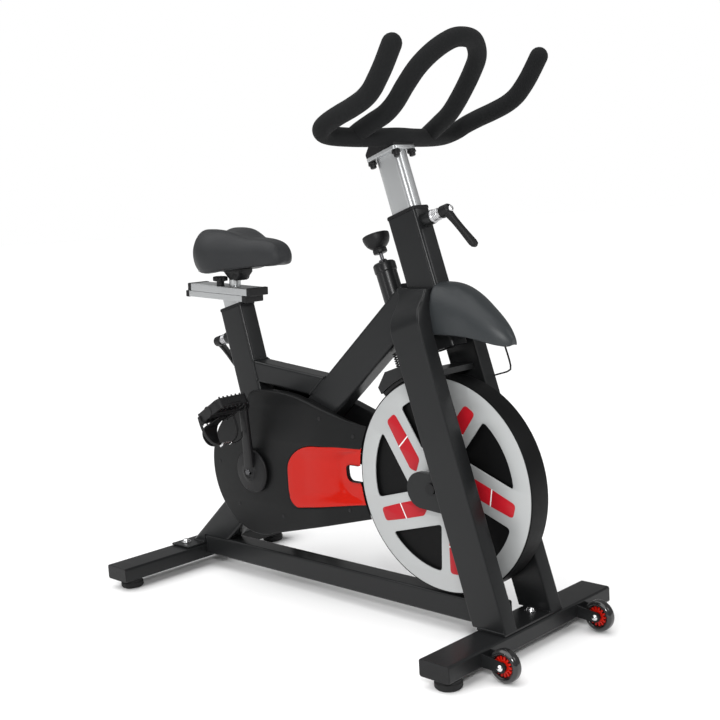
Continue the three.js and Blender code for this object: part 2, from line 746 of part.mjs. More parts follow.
function addSaddle() {
  const halfPlan = [
    [-418, 30], [-424, 62], [-408, 92], [-378, 103], [-340, 99], [-300, 80],
    [-250, 52], [-200, 36], [-160, 31], [-143, 18],
  ];
  const plan = new THREE.Shape(
    outline([...halfPlan, ...halfPlan.map(([x, y]) => [x, -y]).reverse()]),
  );
  const profile = outline([
    [-430, 800], [-418, 782], [-360, 773], [-260, 775], [-165, 782], [-143, 797], [-148, 818],
    [-185, 838], [-240, 848], [-310, 866], [-360, 872], [-400, 866], [-422, 846],
  ]);
  const body = solid(extrude(plan, 200).translate(0, 0, 700));
  add("saddle", body.intersect(solid(plate(profile, -120, 120))), vinyl());
}

// ---------- Handlebar ----------

const BAR_RADIUS = 19.2;
const BAR_CENTRE = { x: 212, z: 1043 };

// Half of the outer bar, from the middle to the tip of one horn, and half of the inner loop.
const HORN_POINTS = [
  [BAR_CENTRE.x, 0, BAR_CENTRE.z], [205, 60, 1042], [197, 120, 1043], [189, 165, 1046],
  [190, 192, 1051], [202, 208, 1059], [223, 212, 1069], [257, 214, 1080], [293, 216, 1090],
  [328, 219, 1102], [352, 222, 1116], [370, 224, 1134], [388, 225, 1156], [412, 226, 1191],
];
const LOOP_POINTS = [
  [188, 112, 1043], [210, 110, 1055], [239, 104, 1069], [268, 97, 1083], [293, 93, 1103], [320, 91, 1133],
  [347, 85, 1163], [371, 72, 1187], [388, 48, 1206.5], [397, 20, 1217.3],
];

function mirrored(points) {
  const right = points.map(([x, y, z]) => new THREE.Vector3(x, -y, z)).reverse();
  const left = points.map(([x, y, z]) => new THREE.Vector3(x, y, z));
  return points[0][1] === 0 ? [...right, ...left.slice(1)] : { right, left };
}

const hornBar = (grow) => sweep(mirrored(HORN_POINTS), BAR_RADIUS + grow, 36);

function addHandlebar() {
  const outer = hornBar(0);
  const { right, left } = mirrored(LOOP_POINTS);
  const loop = sweep([...right.reverse(), ...left.reverse()], BAR_RADIUS, 22);
  const [x, y, z] = HORN_POINTS.at(-1);
  const ends = BOTH_SIDES.map((s) =>
    new THREE.SphereGeometry(BAR_RADIUS - 0.2, 8, 6).translate(x, s * y, z),
  );
  add("handlebar", join(outer, loop, ...ends), rubber());
}

const CLAMP_PLATE = { z0: 218, z1: 224, x: 43, y: 35 };

function addHandlebarPost() {
  const group = groupAt(headFrame);
  const { z0, z1, x, y } = CLAMP_PLATE;
  const top = extrude(roundedRect(2 * x, 2 * y, 8), z1 - z0).translate(0, 0, z0);
  add("handlebar_post", join(post(POST_TUBE, -100, z0 + 1), top), silver(), group);
  const sleeve = cut(
    join(
      post({ ...POST_BORE, radius: 5.5 }, HEAD_TOP - 60, HEAD_TOP + 3, -GAP),
      post(FRAME_TUBE, HEAD_TOP + GAP, HEAD_TOP + 7, 1.5),
    ),
    post(POST_TUBE, 0, 200, GAP),
    rod([10, 0, 60], [70, 0, 60], 9, 12),
  );
  add("head_collar", sleeve, plastic(), group);
}

// The wedge under the bar: tall behind it and thin in front.
function addHandlebarClamp() {
  const wedge = plate(
    outline([
      [-42, CLAMP_PLATE.z1 + GAP], [42, CLAMP_PLATE.z1 + GAP], [42, 231], [30, 262], [2, 262],
      [-22, 250], [-42, 233],
    ]),
    -32,
    32,
  );
  const bar = hornBar(2 * GAP).applyMatrix4(headFrame.clone().invert());
  const loose = box(31, 60, -40, 40, 246, 280);
  add("handlebar_clamp", cut(solid(wedge), bar, loose), plastic(), groupAt(headFrame));
}

// A clamp lever: threaded stud and bush along the frame's X, then a handle from its hub.
function clampLever(direction, height, start, handle) {
  const x = (value) => direction * value;
  const hubAt = start + 38;
  const tip = new THREE.Vector3(x(hubAt), 0, height).add(new THREE.Vector3(...handle));
  return join(
    rod([x(start - 28.5), 0, height], [x(start + 10), 0, height], 6, 10),
    rod([x(start + GAP), 0, height], [x(start + 26), 0, height], 12, 14, 10),
    rod([x(start + 24), 0, height], [x(start + 48), 0, height], 10.5, 12, 9),
    rod([x(hubAt), 0, height], tip.toArray(), 6.5, 10, 7.5),
    new THREE.SphereGeometry(8, 6, 4).translate(...tip.toArray()),
  );
}

function addLevers() {
  const head = clampLever(1, 60, 62, [44, 0, -86]);
  add("head_clamp_lever", head, plastic(), groupAt(headFrame));
  const seat = clampLever(-1, 18, 62, [-28, 62, -62]);
  add("seat_clamp_lever", seat, plastic(), groupAt(seatFrame));
}

// ---------- Brake ----------

const PAD = { inner: WHEEL_RADIUS + 2.6, outer: WHEEL_RADIUS + 10, front: -10, rear: 22 };

// Outline between two arcs about the axle, angles measured back from the brake's own axis.
function rimBand(inner, outer, front, rear, steps) {
  const outside = arc(0, 0, outer, 90 + front, 90 + rear, steps);
  const inside = arc(0, 0, inner, 90 + rear, 90 + front, steps);
  return [...outside, ...inside];
}

function addBrake() {
  const group = groupAt(brakeFrame);
  const { radius, bottom, top } = BRAKE_TUBE;
  const tube = turnedUp(
    [
      [radius - 3, bottom], [radius, bottom], [radius, top - 20], [radius + 1.5, top - 20],
      [radius + 1.5, top - 3], [radius - 2, top], [4.8, top], [4.8, top - 8], [radius - 3, top - 8],
      [radius - 3, bottom],
    ],
    20,
  );
  add("brake_tube", tube, black(), group);
  add("brake_rod", rod([0, 0, 266], [0, 0, 520], 4.2, 10), steel(), group);
  const knob = turnedUp(
    [[4.5, 510], [14, 510], [14, 520], [26, 532], [27.5, 542], [20, 550], [0, 553], [0, 520.5],
      [4.5, 520.5], [4.5, 510]],
    20,
  );
  add("brake_knob", knob, plastic(), group);
  const shoeTop = 264;
  const pad = rimBand(PAD.inner, PAD.outer, PAD.front, PAD.rear, 8);
  add("brake_pad", plate(pad, -23, 23), rubber(), group);
  const shoe = [
    ...outline([[-64, shoeTop], [-96, 238], [-92, 222]]),
    ...arc(0, 0, PAD.outer + GAP, 90 + PAD.rear + 0.5, 90 + PAD.front, 8),
    ...outline([[46, shoeTop]]),
  ].reverse();
  const socket = rod([0, 0, 266 - GAP], [0, 0, 280], 9, 10);
  add("brake_shoe", cut(solid(plate(shoe, -27, 27)), socket), black(), group);
  addBrakeSpring(group);
}

// A coil between the shoe and the main beam.
function addBrakeSpring(group) {
  const turns = 4;
  const [z0, z1] = [268.3, 298];
  const perTurn = 8;
  const count = turns * perTurn;
  const points = Array.from({ length: count + 1 }, (_, i) => {
    const angle = (i * 2 * Math.PI) / perTurn;
    const z = z0 + ((z1 - z0) * i) / count;
    return new THREE.Vector3(-40.6 + 7.5 * Math.cos(angle), 7.5 * Math.sin(angle), z);
  });
  add("brake_spring", sweep(points, 1.3, count, 5), steel(), group);
}

// ---------- Guard and wire ----------

// Hollow hood over the front of the flywheel, open below.
function addGuard() {
  const base = { x: 326, z: 628 };
  const size = { x: 160, y: 54, z: 114 };
  const hood = (shrink) =>
    new THREE.SphereGeometry(1, 16, 12)
      .scale(size.x - shrink, size.y - shrink, size.z - shrink)
      .translate(base.x, 0, base.z);
  const lean = leaningFrame(LEG, LEG.lean);
  const behind = box(-400, LEG.depth / 2 + 1, -100, 100, -600, 900).applyMatrix4(lean);
  const below = box(100, 700, -100, 100, 300, base.z - 8);
  const body = cut(solid(hood(0)), hood(3.5), behind, below, headOuter(GAP));
  add("front_guard", body, plastic());
}

function addWire() {
  const points = [[350, 535], [366, 540], [398, 550], [402, 555], [384, 616], [379, 632], [374, 635], [338, 624]];
  const side = LEG.y + LEG.width / 2 + 2 + GAP;
  const path = points.map(([x, z]) => new THREE.Vector3(x, side, z));
  add("wire_holder", sweep(path, 2, 20, 6), steel());
}

addMainBeam();
addSeatTube();
addBrace();
addHeadTube();
BOTH_SIDES.forEach(addLeg);
addCrossPlate();
addBase();
addFeet();
addCastors();
addFlywheel();
addFace();
addAxle();
addDrive();
addRightCover();
addLeftCover();
addInsert();
addCrank();
BOTH_SIDES.forEach(addPedal);
addSeatPost();
addRail();
addSaddle();
addHandlebar();
addHandlebarPost();
addHandlebarClamp();
addLevers();
addBrake();
addGuard();
addWire();

export default bike;
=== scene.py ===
"""Indoor spin bike: detailed pieces, materials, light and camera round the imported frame."""
import math

import bmesh
import bpy
from mathutils import Matrix, Vector


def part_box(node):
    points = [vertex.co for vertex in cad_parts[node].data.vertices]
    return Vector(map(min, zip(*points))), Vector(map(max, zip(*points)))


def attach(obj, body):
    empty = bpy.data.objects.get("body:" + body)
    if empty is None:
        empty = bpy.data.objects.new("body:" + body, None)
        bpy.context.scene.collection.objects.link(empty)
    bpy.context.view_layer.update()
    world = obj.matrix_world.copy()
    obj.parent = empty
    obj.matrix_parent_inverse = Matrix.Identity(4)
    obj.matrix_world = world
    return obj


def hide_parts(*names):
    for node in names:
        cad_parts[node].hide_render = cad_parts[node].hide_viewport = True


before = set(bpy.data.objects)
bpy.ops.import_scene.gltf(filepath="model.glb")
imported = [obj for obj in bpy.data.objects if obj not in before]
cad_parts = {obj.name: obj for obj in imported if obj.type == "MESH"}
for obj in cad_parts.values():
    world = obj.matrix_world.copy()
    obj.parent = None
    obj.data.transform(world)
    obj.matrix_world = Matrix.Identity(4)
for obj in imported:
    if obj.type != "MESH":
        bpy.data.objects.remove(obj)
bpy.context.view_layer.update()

MM = 0.001
SIDES = (("right", -1), ("left", 1))


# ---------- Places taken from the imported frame, in millimetres ----------


def box(node):
    """The lowest and highest corners of a CAD node at rest."""
    return [[round(v / MM, 2) for v in corner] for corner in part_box(node)]


def middle(node):
    """The middle of a CAD node's box."""
    return [(a + b) / 2 for a, b in zip(*box(node))]


def shift(x, y, z):
    """A move without a turn."""
    return Matrix.Translation((x, y, z))


def leaning(x, z, lean):
    """A place in the XZ plane whose own +Z leans back by that many degrees."""
    return shift(x, 0, z) @ Matrix.Rotation(-math.radians(lean), 4, "Y")


AXLE = tuple(middle("flywheel_axle")[::2])
CRANK = tuple(middle("crank_spindle")[::2])
WHEEL_RADIUS = box("flywheel")[1][0] - AXLE[0]
WHEEL_FACE = box("flywheel_face")[0][1]
COVER_OUTER = box("belt_cover_right")[0][1]
COVER_INNER = box("belt_cover_right")[1][1]

HEAD = leaning(254.4, 800, 17.3)
SEAT = leaning(-324.7, 600, 14.5)
RAIL = leaning(-387, 708, -3.3)
BRAKE = leaning(*AXLE, 18.5)
ON_WHEEL = shift(AXLE[0], 0, AXLE[1])
ON_CRANK = shift(CRANK[0], 0, CRANK[1])
MIRROR = Matrix.Scale(-1, 4, Vector((0, 1, 0)))

# Sections of the tubes and posts: width, depth and corner radius.
TUBE = (80, 50, 9)
POST = (66, 38, 13)

# Each bar's back, front and half length.
BARS = {"front": (438, 512, 272), "rear": (-589, -513, 275)}

# Back and front ends along the rail, and the height of the face that the slider runs on.
RAIL_ENDS = (-119, 105)
SLIDER_ENDS = (-108, 121)
SLIDE = 7.8

CRANK_LENGTH = 170
CRANK_ANGLE = 7
PEDAL_TURN = {"right": 150, "left": -12}
PEDAL_MIDDLE = 150

SPOKES = 5
SPOKE_STEP = 360 / SPOKES
SPOKE_ANGLE = 51
SPOKE_WIDTH = 80
WINDOW_RADIUS = 187

COVER_RADIUS = 160
COVER_SLOPE = math.tan(math.radians(9.3))


# ---------- Materials ----------


def add(tree, kind, **values):
    """A new shader node with the given input values; an input's name has _ for each space."""
    made = tree.nodes.new("ShaderNode" + kind)
    for name, value in values.items():
        made.inputs[name.replace("_", " ")].default_value = value
    return made


def emboss(tree, height, strength, depth):
    """Lets a texture's output raise the surface."""
    raised = add(tree, "Bump", Strength=strength, Distance=depth)
    tree.links.new(height, raised.inputs["Height"])
    tree.links.new(raised.outputs["Normal"], tree.nodes["Principled BSDF"].inputs["Normal"])


def material(name, color, rough, metal=0.0, grain=0.0, bump=0.0, blotch=0.12, wear=0.1, coat=0.0,
             cells=False, spec=0.5, sheen=0.0):
    """Principled surface: colour and roughness vary a little, and a grain in millimetres gives the bump."""
    made = bpy.data.materials.new(name)
    made.use_nodes = True
    tree = made.node_tree
    links = tree.links
    shader = tree.nodes["Principled BSDF"]
    for key, value in (("Metallic", metal), ("Specular IOR Level", spec), ("Coat Weight", coat),
                       ("Coat Roughness", 0.12), ("Sheen Weight", sheen)):
        shader.inputs[key].default_value = value
    place = add(tree, "TexCoord").outputs["Object"]
    large = add(tree, "TexNoise", Scale=9, Detail=5)
    links.new(place, large.inputs["Vector"])
    mix = add(tree, "Mix")
    mix.data_type = "RGBA"
    mix.inputs["A"].default_value = (*[c * (1 - blotch) for c in color], 1)
    mix.inputs["B"].default_value = (*[min(1, c * (1 + blotch)) for c in color], 1)
    links.new(large.outputs["Fac"], mix.inputs["Factor"])
    links.new(mix.outputs["Result"], shader.inputs["Base Color"])
    small = add(tree, "TexNoise", Scale=60, Detail=6)
    links.new(place, small.inputs["Vector"])
    spread = add(tree, "MapRange", To_Min=max(0.02, rough - wear), To_Max=min(1.0, rough + wear))
    links.new(small.outputs["Fac"], spread.inputs["Value"])
    links.new(spread.outputs["Result"], shader.inputs["Roughness"])
    if grain:
        texture = add(tree, "TexVoronoi" if cells else "TexNoise", Scale=1000 / grain)
        links.new(place, texture.inputs["Vector"])
        emboss(tree, texture.outputs["Distance" if cells else "Fac"], bump, 0.0006)
    return made


def brushed(name, color, rough, stretch):
    """Metal with fine lines, drawn out by the given scale on each axis."""
    made = material(name, color, rough, metal=1.0, blotch=0.05, wear=0.06)
    tree = made.node_tree
    place = add(tree, "TexCoord")
    scaled = add(tree, "Mapping", Scale=stretch)
    lines = add(tree, "TexNoise", Scale=500)
    tree.links.new(place.outputs["Object"], scaled.inputs["Vector"])
    tree.links.new(scaled.outputs["Vector"], lines.inputs["Vector"])
    emboss(tree, lines.outputs["Fac"], 0.12, 0.0004)
    return made


M = {
    "frame": material("frame_paint", (0.0105, 0.011, 0.0115), 0.30, grain=1.6, bump=0.16, blotch=0.1,
                      wear=0.05, spec=0.22),
    "cover": material("cover_plastic", (0.006, 0.0062, 0.0064), 0.38, grain=0.9, bump=0.3, wear=0.06,
                      spec=0.14),
    "guard": material("guard_plastic", (0.026, 0.029, 0.031), 0.36, grain=0.8, bump=0.2, blotch=0.08,
                      wear=0.05, spec=0.22),
    "red": material("red_gloss", (0.42, 0.008, 0.003), 0.12, grain=6, bump=0.03, blotch=0.04, wear=0.04,
                    coat=0.15, spec=0.12),
    "wheel": material("wheel_paint", (0.003, 0.0031, 0.0033), 0.45, grain=1.4, bump=0.25, wear=0.08,
                      spec=0.1),
    "face": material("face_silver", (0.41, 0.42, 0.42), 0.38, metal=0.4, grain=0.7, bump=0.1, blotch=0.05,
                     wear=0.06),
    "silver": material("post_silver", (0.45, 0.46, 0.465), 0.30, metal=0.75, grain=0.8, bump=0.08,
                       blotch=0.05, wear=0.05),
    "steel": brushed("zinc_steel", (0.42, 0.42, 0.43), 0.32, (1, 1, 12)),
    "dark": brushed("dark_steel", (0.10, 0.10, 0.105), 0.30, (1, 1, 12)),
    "bright": brushed("bright_steel", (0.66, 0.66, 0.67), 0.22, (1, 12, 1)),
    "plastic": material("black_plastic", (0.008, 0.008, 0.0085), 0.40, grain=0.8, bump=0.35, wear=0.08,
                        spec=0.2),
    "rubber": material("rubber", (0.010, 0.010, 0.0105), 0.72, grain=1.1, bump=0.5, blotch=0.2, wear=0.08,
                       spec=0.3),
    "tyre": material("castor_urethane", (0.012, 0.012, 0.0125), 0.18, grain=2.5, bump=0.1, wear=0.06,
                     spec=0.6),
    "foam": material("grip_foam", (0.009, 0.0094, 0.0098), 0.80, grain=1.3, bump=0.8, wear=0.06, cells=True,
                     sheen=0.02, spec=0.1),
    "vinyl": material("saddle_vinyl", (0.026, 0.027, 0.0285), 0.40, grain=1.8, bump=0.5, blotch=0.08,
                      wear=0.08, cells=True, spec=0.14),
    "thread": material("seam_thread", (0.012, 0.0125, 0.013), 0.6, grain=0.6, bump=0.5, spec=0.3),
    "sticker": material("sticker_red", (0.37, 0.008, 0.015), 0.30, grain=3, bump=0.03, blotch=0.05, wear=0.05,
                        spec=0.2),
    "white": material("sticker_white", (0.72, 0.72, 0.72), 0.4, grain=3, bump=0.03, blotch=0.03, wear=0.05,
                      spec=0.3),
    "nylon": material("strap_nylon", (0.009, 0.009, 0.0095), 0.65, grain=1.5, bump=0.8, wear=0.08, spec=0.3),
}


# ---------- Shapes, in millimetres ----------


def arc(cx, cy, radius, start, end, steps):
    """Points on an arc, from one angle to the other in degrees."""
    turns = [math.radians(start + (end - start) * i / steps) for i in range(steps + 1)]
    return [(cx + radius * math.cos(t), cy + radius * math.sin(t)) for t in turns]


def circle(radius, steps):
    return arc(0, 0, radius, 0, 360, steps)[:-1]


def rounded(points, radius, closed=True, steps=5):
    """The outline with its corners rounded; a point's third number is its own radius."""
    out = []
    count = len(points)
    for i, point in enumerate(points):
        here = Vector(point[:2])
        if not closed and i in (0, count - 1):
            out.append(here[:])
            continue
        before = Vector(points[i - 1][:2]) - here
        after = Vector(points[(i + 1) % count][:2]) - here
        own = point[2] if len(point) > 2 else radius
        reach = min(own, before.length * 0.48, after.length * 0.48)
        if reach < 0.01:
            out.append(here[:])
            continue
        first = here + before.normalized() * reach
        last = here + after.normalized() * reach
        for k in range(steps + 1):
            t = k / steps
            out.append((first * (1 - t) ** 2 + here * 2 * t * (1 - t) + last * t**2)[:])
    return out


def rounded_rect(width, height, radius, steps=6):
    x, y = width / 2 - radius, height / 2 - radius
    return (
        arc(x, y, radius, 0, 90, steps)
        + arc(-x, y, radius, 90, 180, steps)
        + arc(-x, -y, radius, 180, 270, steps)
        + arc(x, -y, radius, 270, 360, steps)
    )


def grown(section, by, steps=6):
    """The outline of a tube's section, larger all round."""
    width, depth, radius = section
    return rounded_rect(width + 2 * by, depth + 2 * by, radius + by, steps)


def spline(points, per=8):
    """A smooth curve through the points."""
    pts = [Vector(p) for p in points]
    pts = [pts[0] * 2 - pts[1], *pts, pts[-1] * 2 - pts[-2]]
    out = []
    for i in range(1, len(pts) - 2):
        a, b, c, d = pts[i - 1 : i + 3]
        bend = 2 * a - 5 * b + 4 * c - d
        twist = 3 * b - a - 3 * c + d
        for k in range(per):
            t = k / per
            out.append(0.5 * (2 * b + (c - a) * t + bend * t**2 + twist * t**3))
    return [*out, pts[-2]]


def between(table, x):
    """The value at x in a table of (x, value) pairs."""
    for (x0, v0), (x1, v1) in zip(table, table[1:]):
        if x <= x1:
            return v0 + (v1 - v0) * (x - x0) / (x1 - x0)
    return table[-1][1]


def smooth(x):
    """Rises from 0 to 1 with soft ends."""
    x = max(0.0, min(1.0, x))
    return x * x * (3 - 2 * x)


def distance(point, outline):
    """Shortest way from a point to the outline."""
    p = Vector(point)
    best = 1e9
    for a, b in zip(outline, outline[1:] + outline[:1]):
        a, b = Vector(a), Vector(b)
        run = b - a
        t = max(0, min(1, (p - a).dot(run) / max(1e-9, run.length_squared)))
        best = min(best, (a + run * t - p).length)
    return best


def skin(rings, closed=False, caps=True, around=True):
    """Quads between rings of equal length; around=False leaves each ring open."""
    bm = bmesh.new()
    made = [[bm.verts.new(p) for p in ring] for ring in rings]
    pairs = list(zip(made, made[1:]))
    if closed:
        pairs.append((made[-1], made[0]))
    for low, high in pairs:
        for i in range(len(low) if around else len(low) - 1):
            j = (i + 1) % len(low)
            bm.faces.new((low[i], low[j], high[j], high[i]))
    if caps and not closed:
        bm.faces.new(list(reversed(made[0])))
        bm.faces.new(made[-1])
    return bm


def lathe(profile, segments=64, closed=False, along="Z"):
    """The profile's (radius, height) pairs turned round the axis."""
    rings = []
    for radius, height in profile:
        radius = max(radius, 0.01)
        ring = [(radius * math.cos(t), radius * math.sin(t), height)
                for t in (2 * math.pi * k / segments for k in range(segments))]
        rings.append(ring)
    bm = skin(rings, closed=closed)
    if along == "Y":
        bm.transform(Matrix.Rotation(math.radians(-90), 4, "X"))
    if along == "X":
        bm.transform(Matrix.Rotation(math.radians(90), 4, "Y"))
    return bm


def spun(profile, radius, segments, along="Z", closed=False, side=1):
    """The profile with rounded corners turned round the axis; side -1 mirrors it across."""
    bm = lathe(rounded(profile, radius, closed), segments, closed, along)
    return moved(bm, MIRROR) if side < 0 else bm


def sweep(path, radius, sides=20, closed=False, round_ends=False, section=None):
    """A bar along the path: round, or with its own section of (across, up) pairs."""
    pts = [Vector(p) for p in path]
    sizes = [1.0] * len(pts)
    if round_ends:
        head = (pts[0] - pts[1]).normalized()
        tail = (pts[-1] - pts[-2]).normalized()
        steps = [math.radians(a) for a in (20, 40, 60, 75, 86)]
        first = [pts[0] + head * radius * math.sin(a) for a in reversed(steps)]
        last = [pts[-1] + tail * radius * math.sin(a) for a in steps]
        pts = first + pts + last
        ends = [math.cos(a) for a in steps]
        sizes = ends[::-1] + sizes + ends
    section = section or circle(radius, sides)
    count = len(pts)
    normal = None
    rings = []
    for i, p in enumerate(pts):
        before = pts[i - 1] if i or closed else p
        after = pts[(i + 1) % count] if i < count - 1 or closed else p
        along = (after - before).normalized()
        if normal is None:
            normal = Vector((0, 1, 0)) if abs(along.y) < 0.9 else Vector((0, 0, 1))
        normal = (normal - along * normal.dot(along)).normalized()
        other = along.cross(normal)
        rings.append([p + (normal * a + other * b) * sizes[i] for a, b in section])
    return skin(rings, closed=closed)


def limb(start, run, across, sizes, corner=None):
    """A bar whose rounded section changes on its way: sizes are (share of the run, width, depth)."""
    along = run.normalized()
    side = Vector(across).cross(along).normalized()
    other = along.cross(side)
    rings = []
    for share, wide, deep in sizes:
        section = rounded_rect(wide, deep, corner or min(wide, deep) * 0.42, 5)
        rings.append([start + run * share + side * a + other * b for a, b in section])
    return skin(rings)


def linked(name, data):
    """A new object in the scene."""
    obj = bpy.data.objects.new(name, data)
    bpy.context.scene.collection.objects.link(obj)
    return obj


def sheet(outlines, y0, y1, bevel=1.0, steps=3):
    """Flat outlines in the XZ plane, the later ones holes, thick from y0 to y1 with rounded edges."""
    curve = bpy.data.curves.new("outline", "CURVE")
    curve.dimensions = "2D"
    curve.fill_mode = "BOTH"
    for points in outlines:
        line = curve.splines.new("POLY")
        line.points.add(len(points) - 1)
        for target, (x, z) in zip(line.points, points):
            target.co = (x, z, 0, 1)
        line.use_cyclic_u = True
    curve.extrude = max(0.01, (y1 - y0) / 2 - bevel)
    curve.bevel_depth = bevel
    curve.bevel_resolution = steps
    curve.offset = -bevel
    holder = linked("outline", curve)
    bpy.context.view_layer.update()
    mesh = bpy.data.meshes.new_from_object(holder.evaluated_get(bpy.context.evaluated_depsgraph_get()))
    bm = bmesh.new()
    bm.from_mesh(mesh)
    bpy.data.objects.remove(holder)
    bpy.data.curves.remove(curve)
    bpy.data.meshes.remove(mesh)
    bmesh.ops.remove_doubles(bm, verts=bm.verts, dist=0.01)
    bm.transform(Matrix(((1, 0, 0, 0), (0, 0, -1, (y0 + y1) / 2), (0, 1, 0, 0), (0, 0, 0, 1))))
    return bm


def prism(outline, z0, z1):
    """A flat outline in the XY plane raised from z0 to z1."""
    return skin([[(x, y, z0) for x, y in outline], [(x, y, z1) for x, y in outline]])


def block(x0, x1, y0, y1, z0, z1):
    return prism([(x0, y0), (x1, y0), (x1, y1), (x0, y1)], z0, z1)


def rod(start, end, radius, segments=24, end_radius=None):
    a, b = Vector(start), Vector(end)
    bm = lathe([(radius, 0), (end_radius or radius, (b - a).length)], segments)
    turn = Vector((0, 0, 1)).rotation_difference((b - a).normalized())
    bm.transform(Matrix.Translation(a) @ turn.to_matrix().to_4x4())
    return bm


def merge(*parts):
    """Several shapes as one."""
    whole = bmesh.new()
    for part in parts:
        mesh = bpy.data.meshes.new("part")
        part.to_mesh(mesh)
        part.free()
        whole.from_mesh(mesh)
        bpy.data.meshes.remove(mesh)
    return whole


def moved(bm, matrix):
    bm.transform(matrix)
    return bm


def sliced(bm, origins, normal):
    """Adds edges where planes cross the shape."""
    for origin in origins:
        geometry = bm.verts[:] + bm.edges[:] + bm.faces[:]
        bmesh.ops.bisect_plane(bm, geom=geometry, plane_co=origin, plane_no=normal, dist=1e-4)
    return bm


def edged(obj, width, limit):
    """Rounds the edges that turn by more than that many degrees."""
    edge = obj.modifiers.new("edge", "BEVEL")
    edge.width = width * MM
    edge.segments = 3
    edge.limit_method = "ANGLE"
    edge.angle_limit = math.radians(limit)
    return edge


def piece(name, bm, mat, body, *nodes, place=None, bevel=0.0, limit=35):
    """The shape as a named piece that rides a body and stands for the given nodes."""
    if place is not None:
        bm.transform(place)
    bmesh.ops.recalc_face_normals(bm, faces=bm.faces)
    bm.transform(Matrix.Scale(MM, 4))
    mesh = bpy.data.meshes.new(name)
    bm.to_mesh(mesh)
    bm.free()
    obj = linked(name, mesh)
    mesh.materials.append(M[mat])
    mesh.polygons.foreach_set("use_smooth", [True] * len(mesh.polygons))
    if bevel:
        edged(obj, bevel, limit).harden_normals = True
    else:
        mesh.set_sharp_from_angle(angle=math.radians(limit))
    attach(obj, body)
    if nodes:
        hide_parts(*nodes)
    return obj


def finer(obj, levels):
    """Smooths the piece as a subdivision surface."""
    soft = obj.modifiers.new("finer", "SUBSURF")
    soft.levels = levels
    soft.render_levels = levels


# ---------- CAD nodes that keep their mesh ----------


def dress(node, mat, bevel=0.0, limit=50):
    """A CAD node keeps its mesh and gets a material, rounded edges and smooth shading."""
    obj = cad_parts[node]
    obj.data.materials.clear()
    obj.data.materials.append(M[mat])
    for polygon in obj.data.polygons:
        polygon.use_smooth = True
        polygon.material_index = 0
    weld = obj.modifiers.new("weld", "WELD")
    weld.merge_threshold = 0.00002
    if bevel:
        edged(obj, bevel, limit)
    else:
        split = obj.modifiers.new("split", "EDGE_SPLIT")
        split.split_angle = math.radians(38)
    obj.modifiers.new("normals", "WEIGHTED_NORMAL")


def frame_parts():
    """The tubes, plates and inner parts whose CAD mesh is fine enough as it is."""
    for node in ("main_beam", "seat_tube", "seat_brace", "head_tube", "fork_leg_right", "fork_leg_left",
                 "leg_cross_plate", "front_stabilizer", "rear_stabilizer"):
        dress(node, "frame")
    dress("bottom_beam", "frame", bevel=5)
    for node in ("front_mount_plate", "rear_mount_plate"):
        dress(node, "frame", bevel=1.2, limit=60)
    for node in ("bottom_bracket_bearing", "hub_pulley", "crank_pulley", "crank_spindle"):
        dress(node, "steel")
    for node in ("flywheel_axle", "wire_holder"):
        dress(node, "plastic")
    dress("drive_belt", "rubber")
    dress("brake_pad", "rubber", bevel=0.8)
    dress("brake_shoe", "frame", bevel=2.0)


def bead(name, start, end, radius=2.3):
    """A weld bead: a low ripple along a joint."""
    a, b = Vector(start), Vector(end)
    count = max(6, int((b - a).length / 1.2))
    rings = []
    along = (b - a).normalized()
    side = along.cross(Vector((0.3, 0.5, 0.8))).normalized()
    other = along.cross(side)
    for i in range(count + 1):
        r = radius * (1 + 0.16 * math.sin(i * 1.7)) * (0.5 if i in (0, count) else 1)
        centre = a + (b - a) * i / count
        rings.append([centre + side * x + other * y for x, y in circle(r, 8)])
    piece(name, skin(rings), "frame", "frame", limit=80)


def welds():
    """The beads that show on the frame's joints."""
    bead("weld_brace_rear_top", (-271, -23, 555), (-271, 23, 555))
    bead("weld_brace_front_top", (-31, -23, 528.5), (-31, 23, 528.5))
    for side, sign in SIDES:
        y = sign * TUBE[1] / 2
        bead(f"weld_brace_beam_{side}", (-31, y, 528), (-81, y, 484))
        bead(f"weld_brace_post_{side}", (-271.5, y, 554), (-259, y, 506))
        bead(f"weld_beam_foot_{side}", (-560, y, 64.4), (-519, y, 64.4))
        for name, line in (("outer", sign * 97), ("inner", sign * 57)):
            bead(f"weld_leg_{name}_{side}", (441, line, 64.2), (508, line, 64.2), 1.9)


# ---------- Base ----------


def end_caps():
    """Plastic plugs in the open ends of both bars."""
    height = middle("rear_stabilizer")[2]
    for name, (back, front, half) in BARS.items():
        for side, sign in SIDES:
            cap = prism(rounded_rect(front - back - 1, 34.2, 6), 0, 2.5)
            turn = Matrix.Rotation(math.radians(-90 * sign), 4, "X")
            place = shift((back + front) / 2, sign * (half - 1.6), height) @ turn
            piece(f"{name}_end_cap_{side}", cap, "plastic", "frame", place=place, bevel=0.9)


def bolts():
    """Domed bolts with washers on both mount plates."""
    dome = [(0, 8.6), (5.5, 7.6), (8.5, 4.5), (10, 0.6), (10, 0), (5, 0), (5, -16), (0, -16)]
    washer = [(5.4, 0.05), (12.5, 0.05), (12.5, 1.6), (5.4, 1.6)]
    for name in BARS:
        top = box(f"{name}_mount_plate")[1][2] + 0.3
        for side, _ in SIDES:
            node = f"{name}_mount_bolt_{side}"
            shape = merge(moved(spun(dome, 1.5, 32), shift(0, 0, 0.6)), spun(washer, 0.4, 40, closed=True))
            place = shift(*middle(node)[:2], top)
            piece(f"{name}_bolt_{side}", shape, "bright", "frame", node, place=place, limit=40)


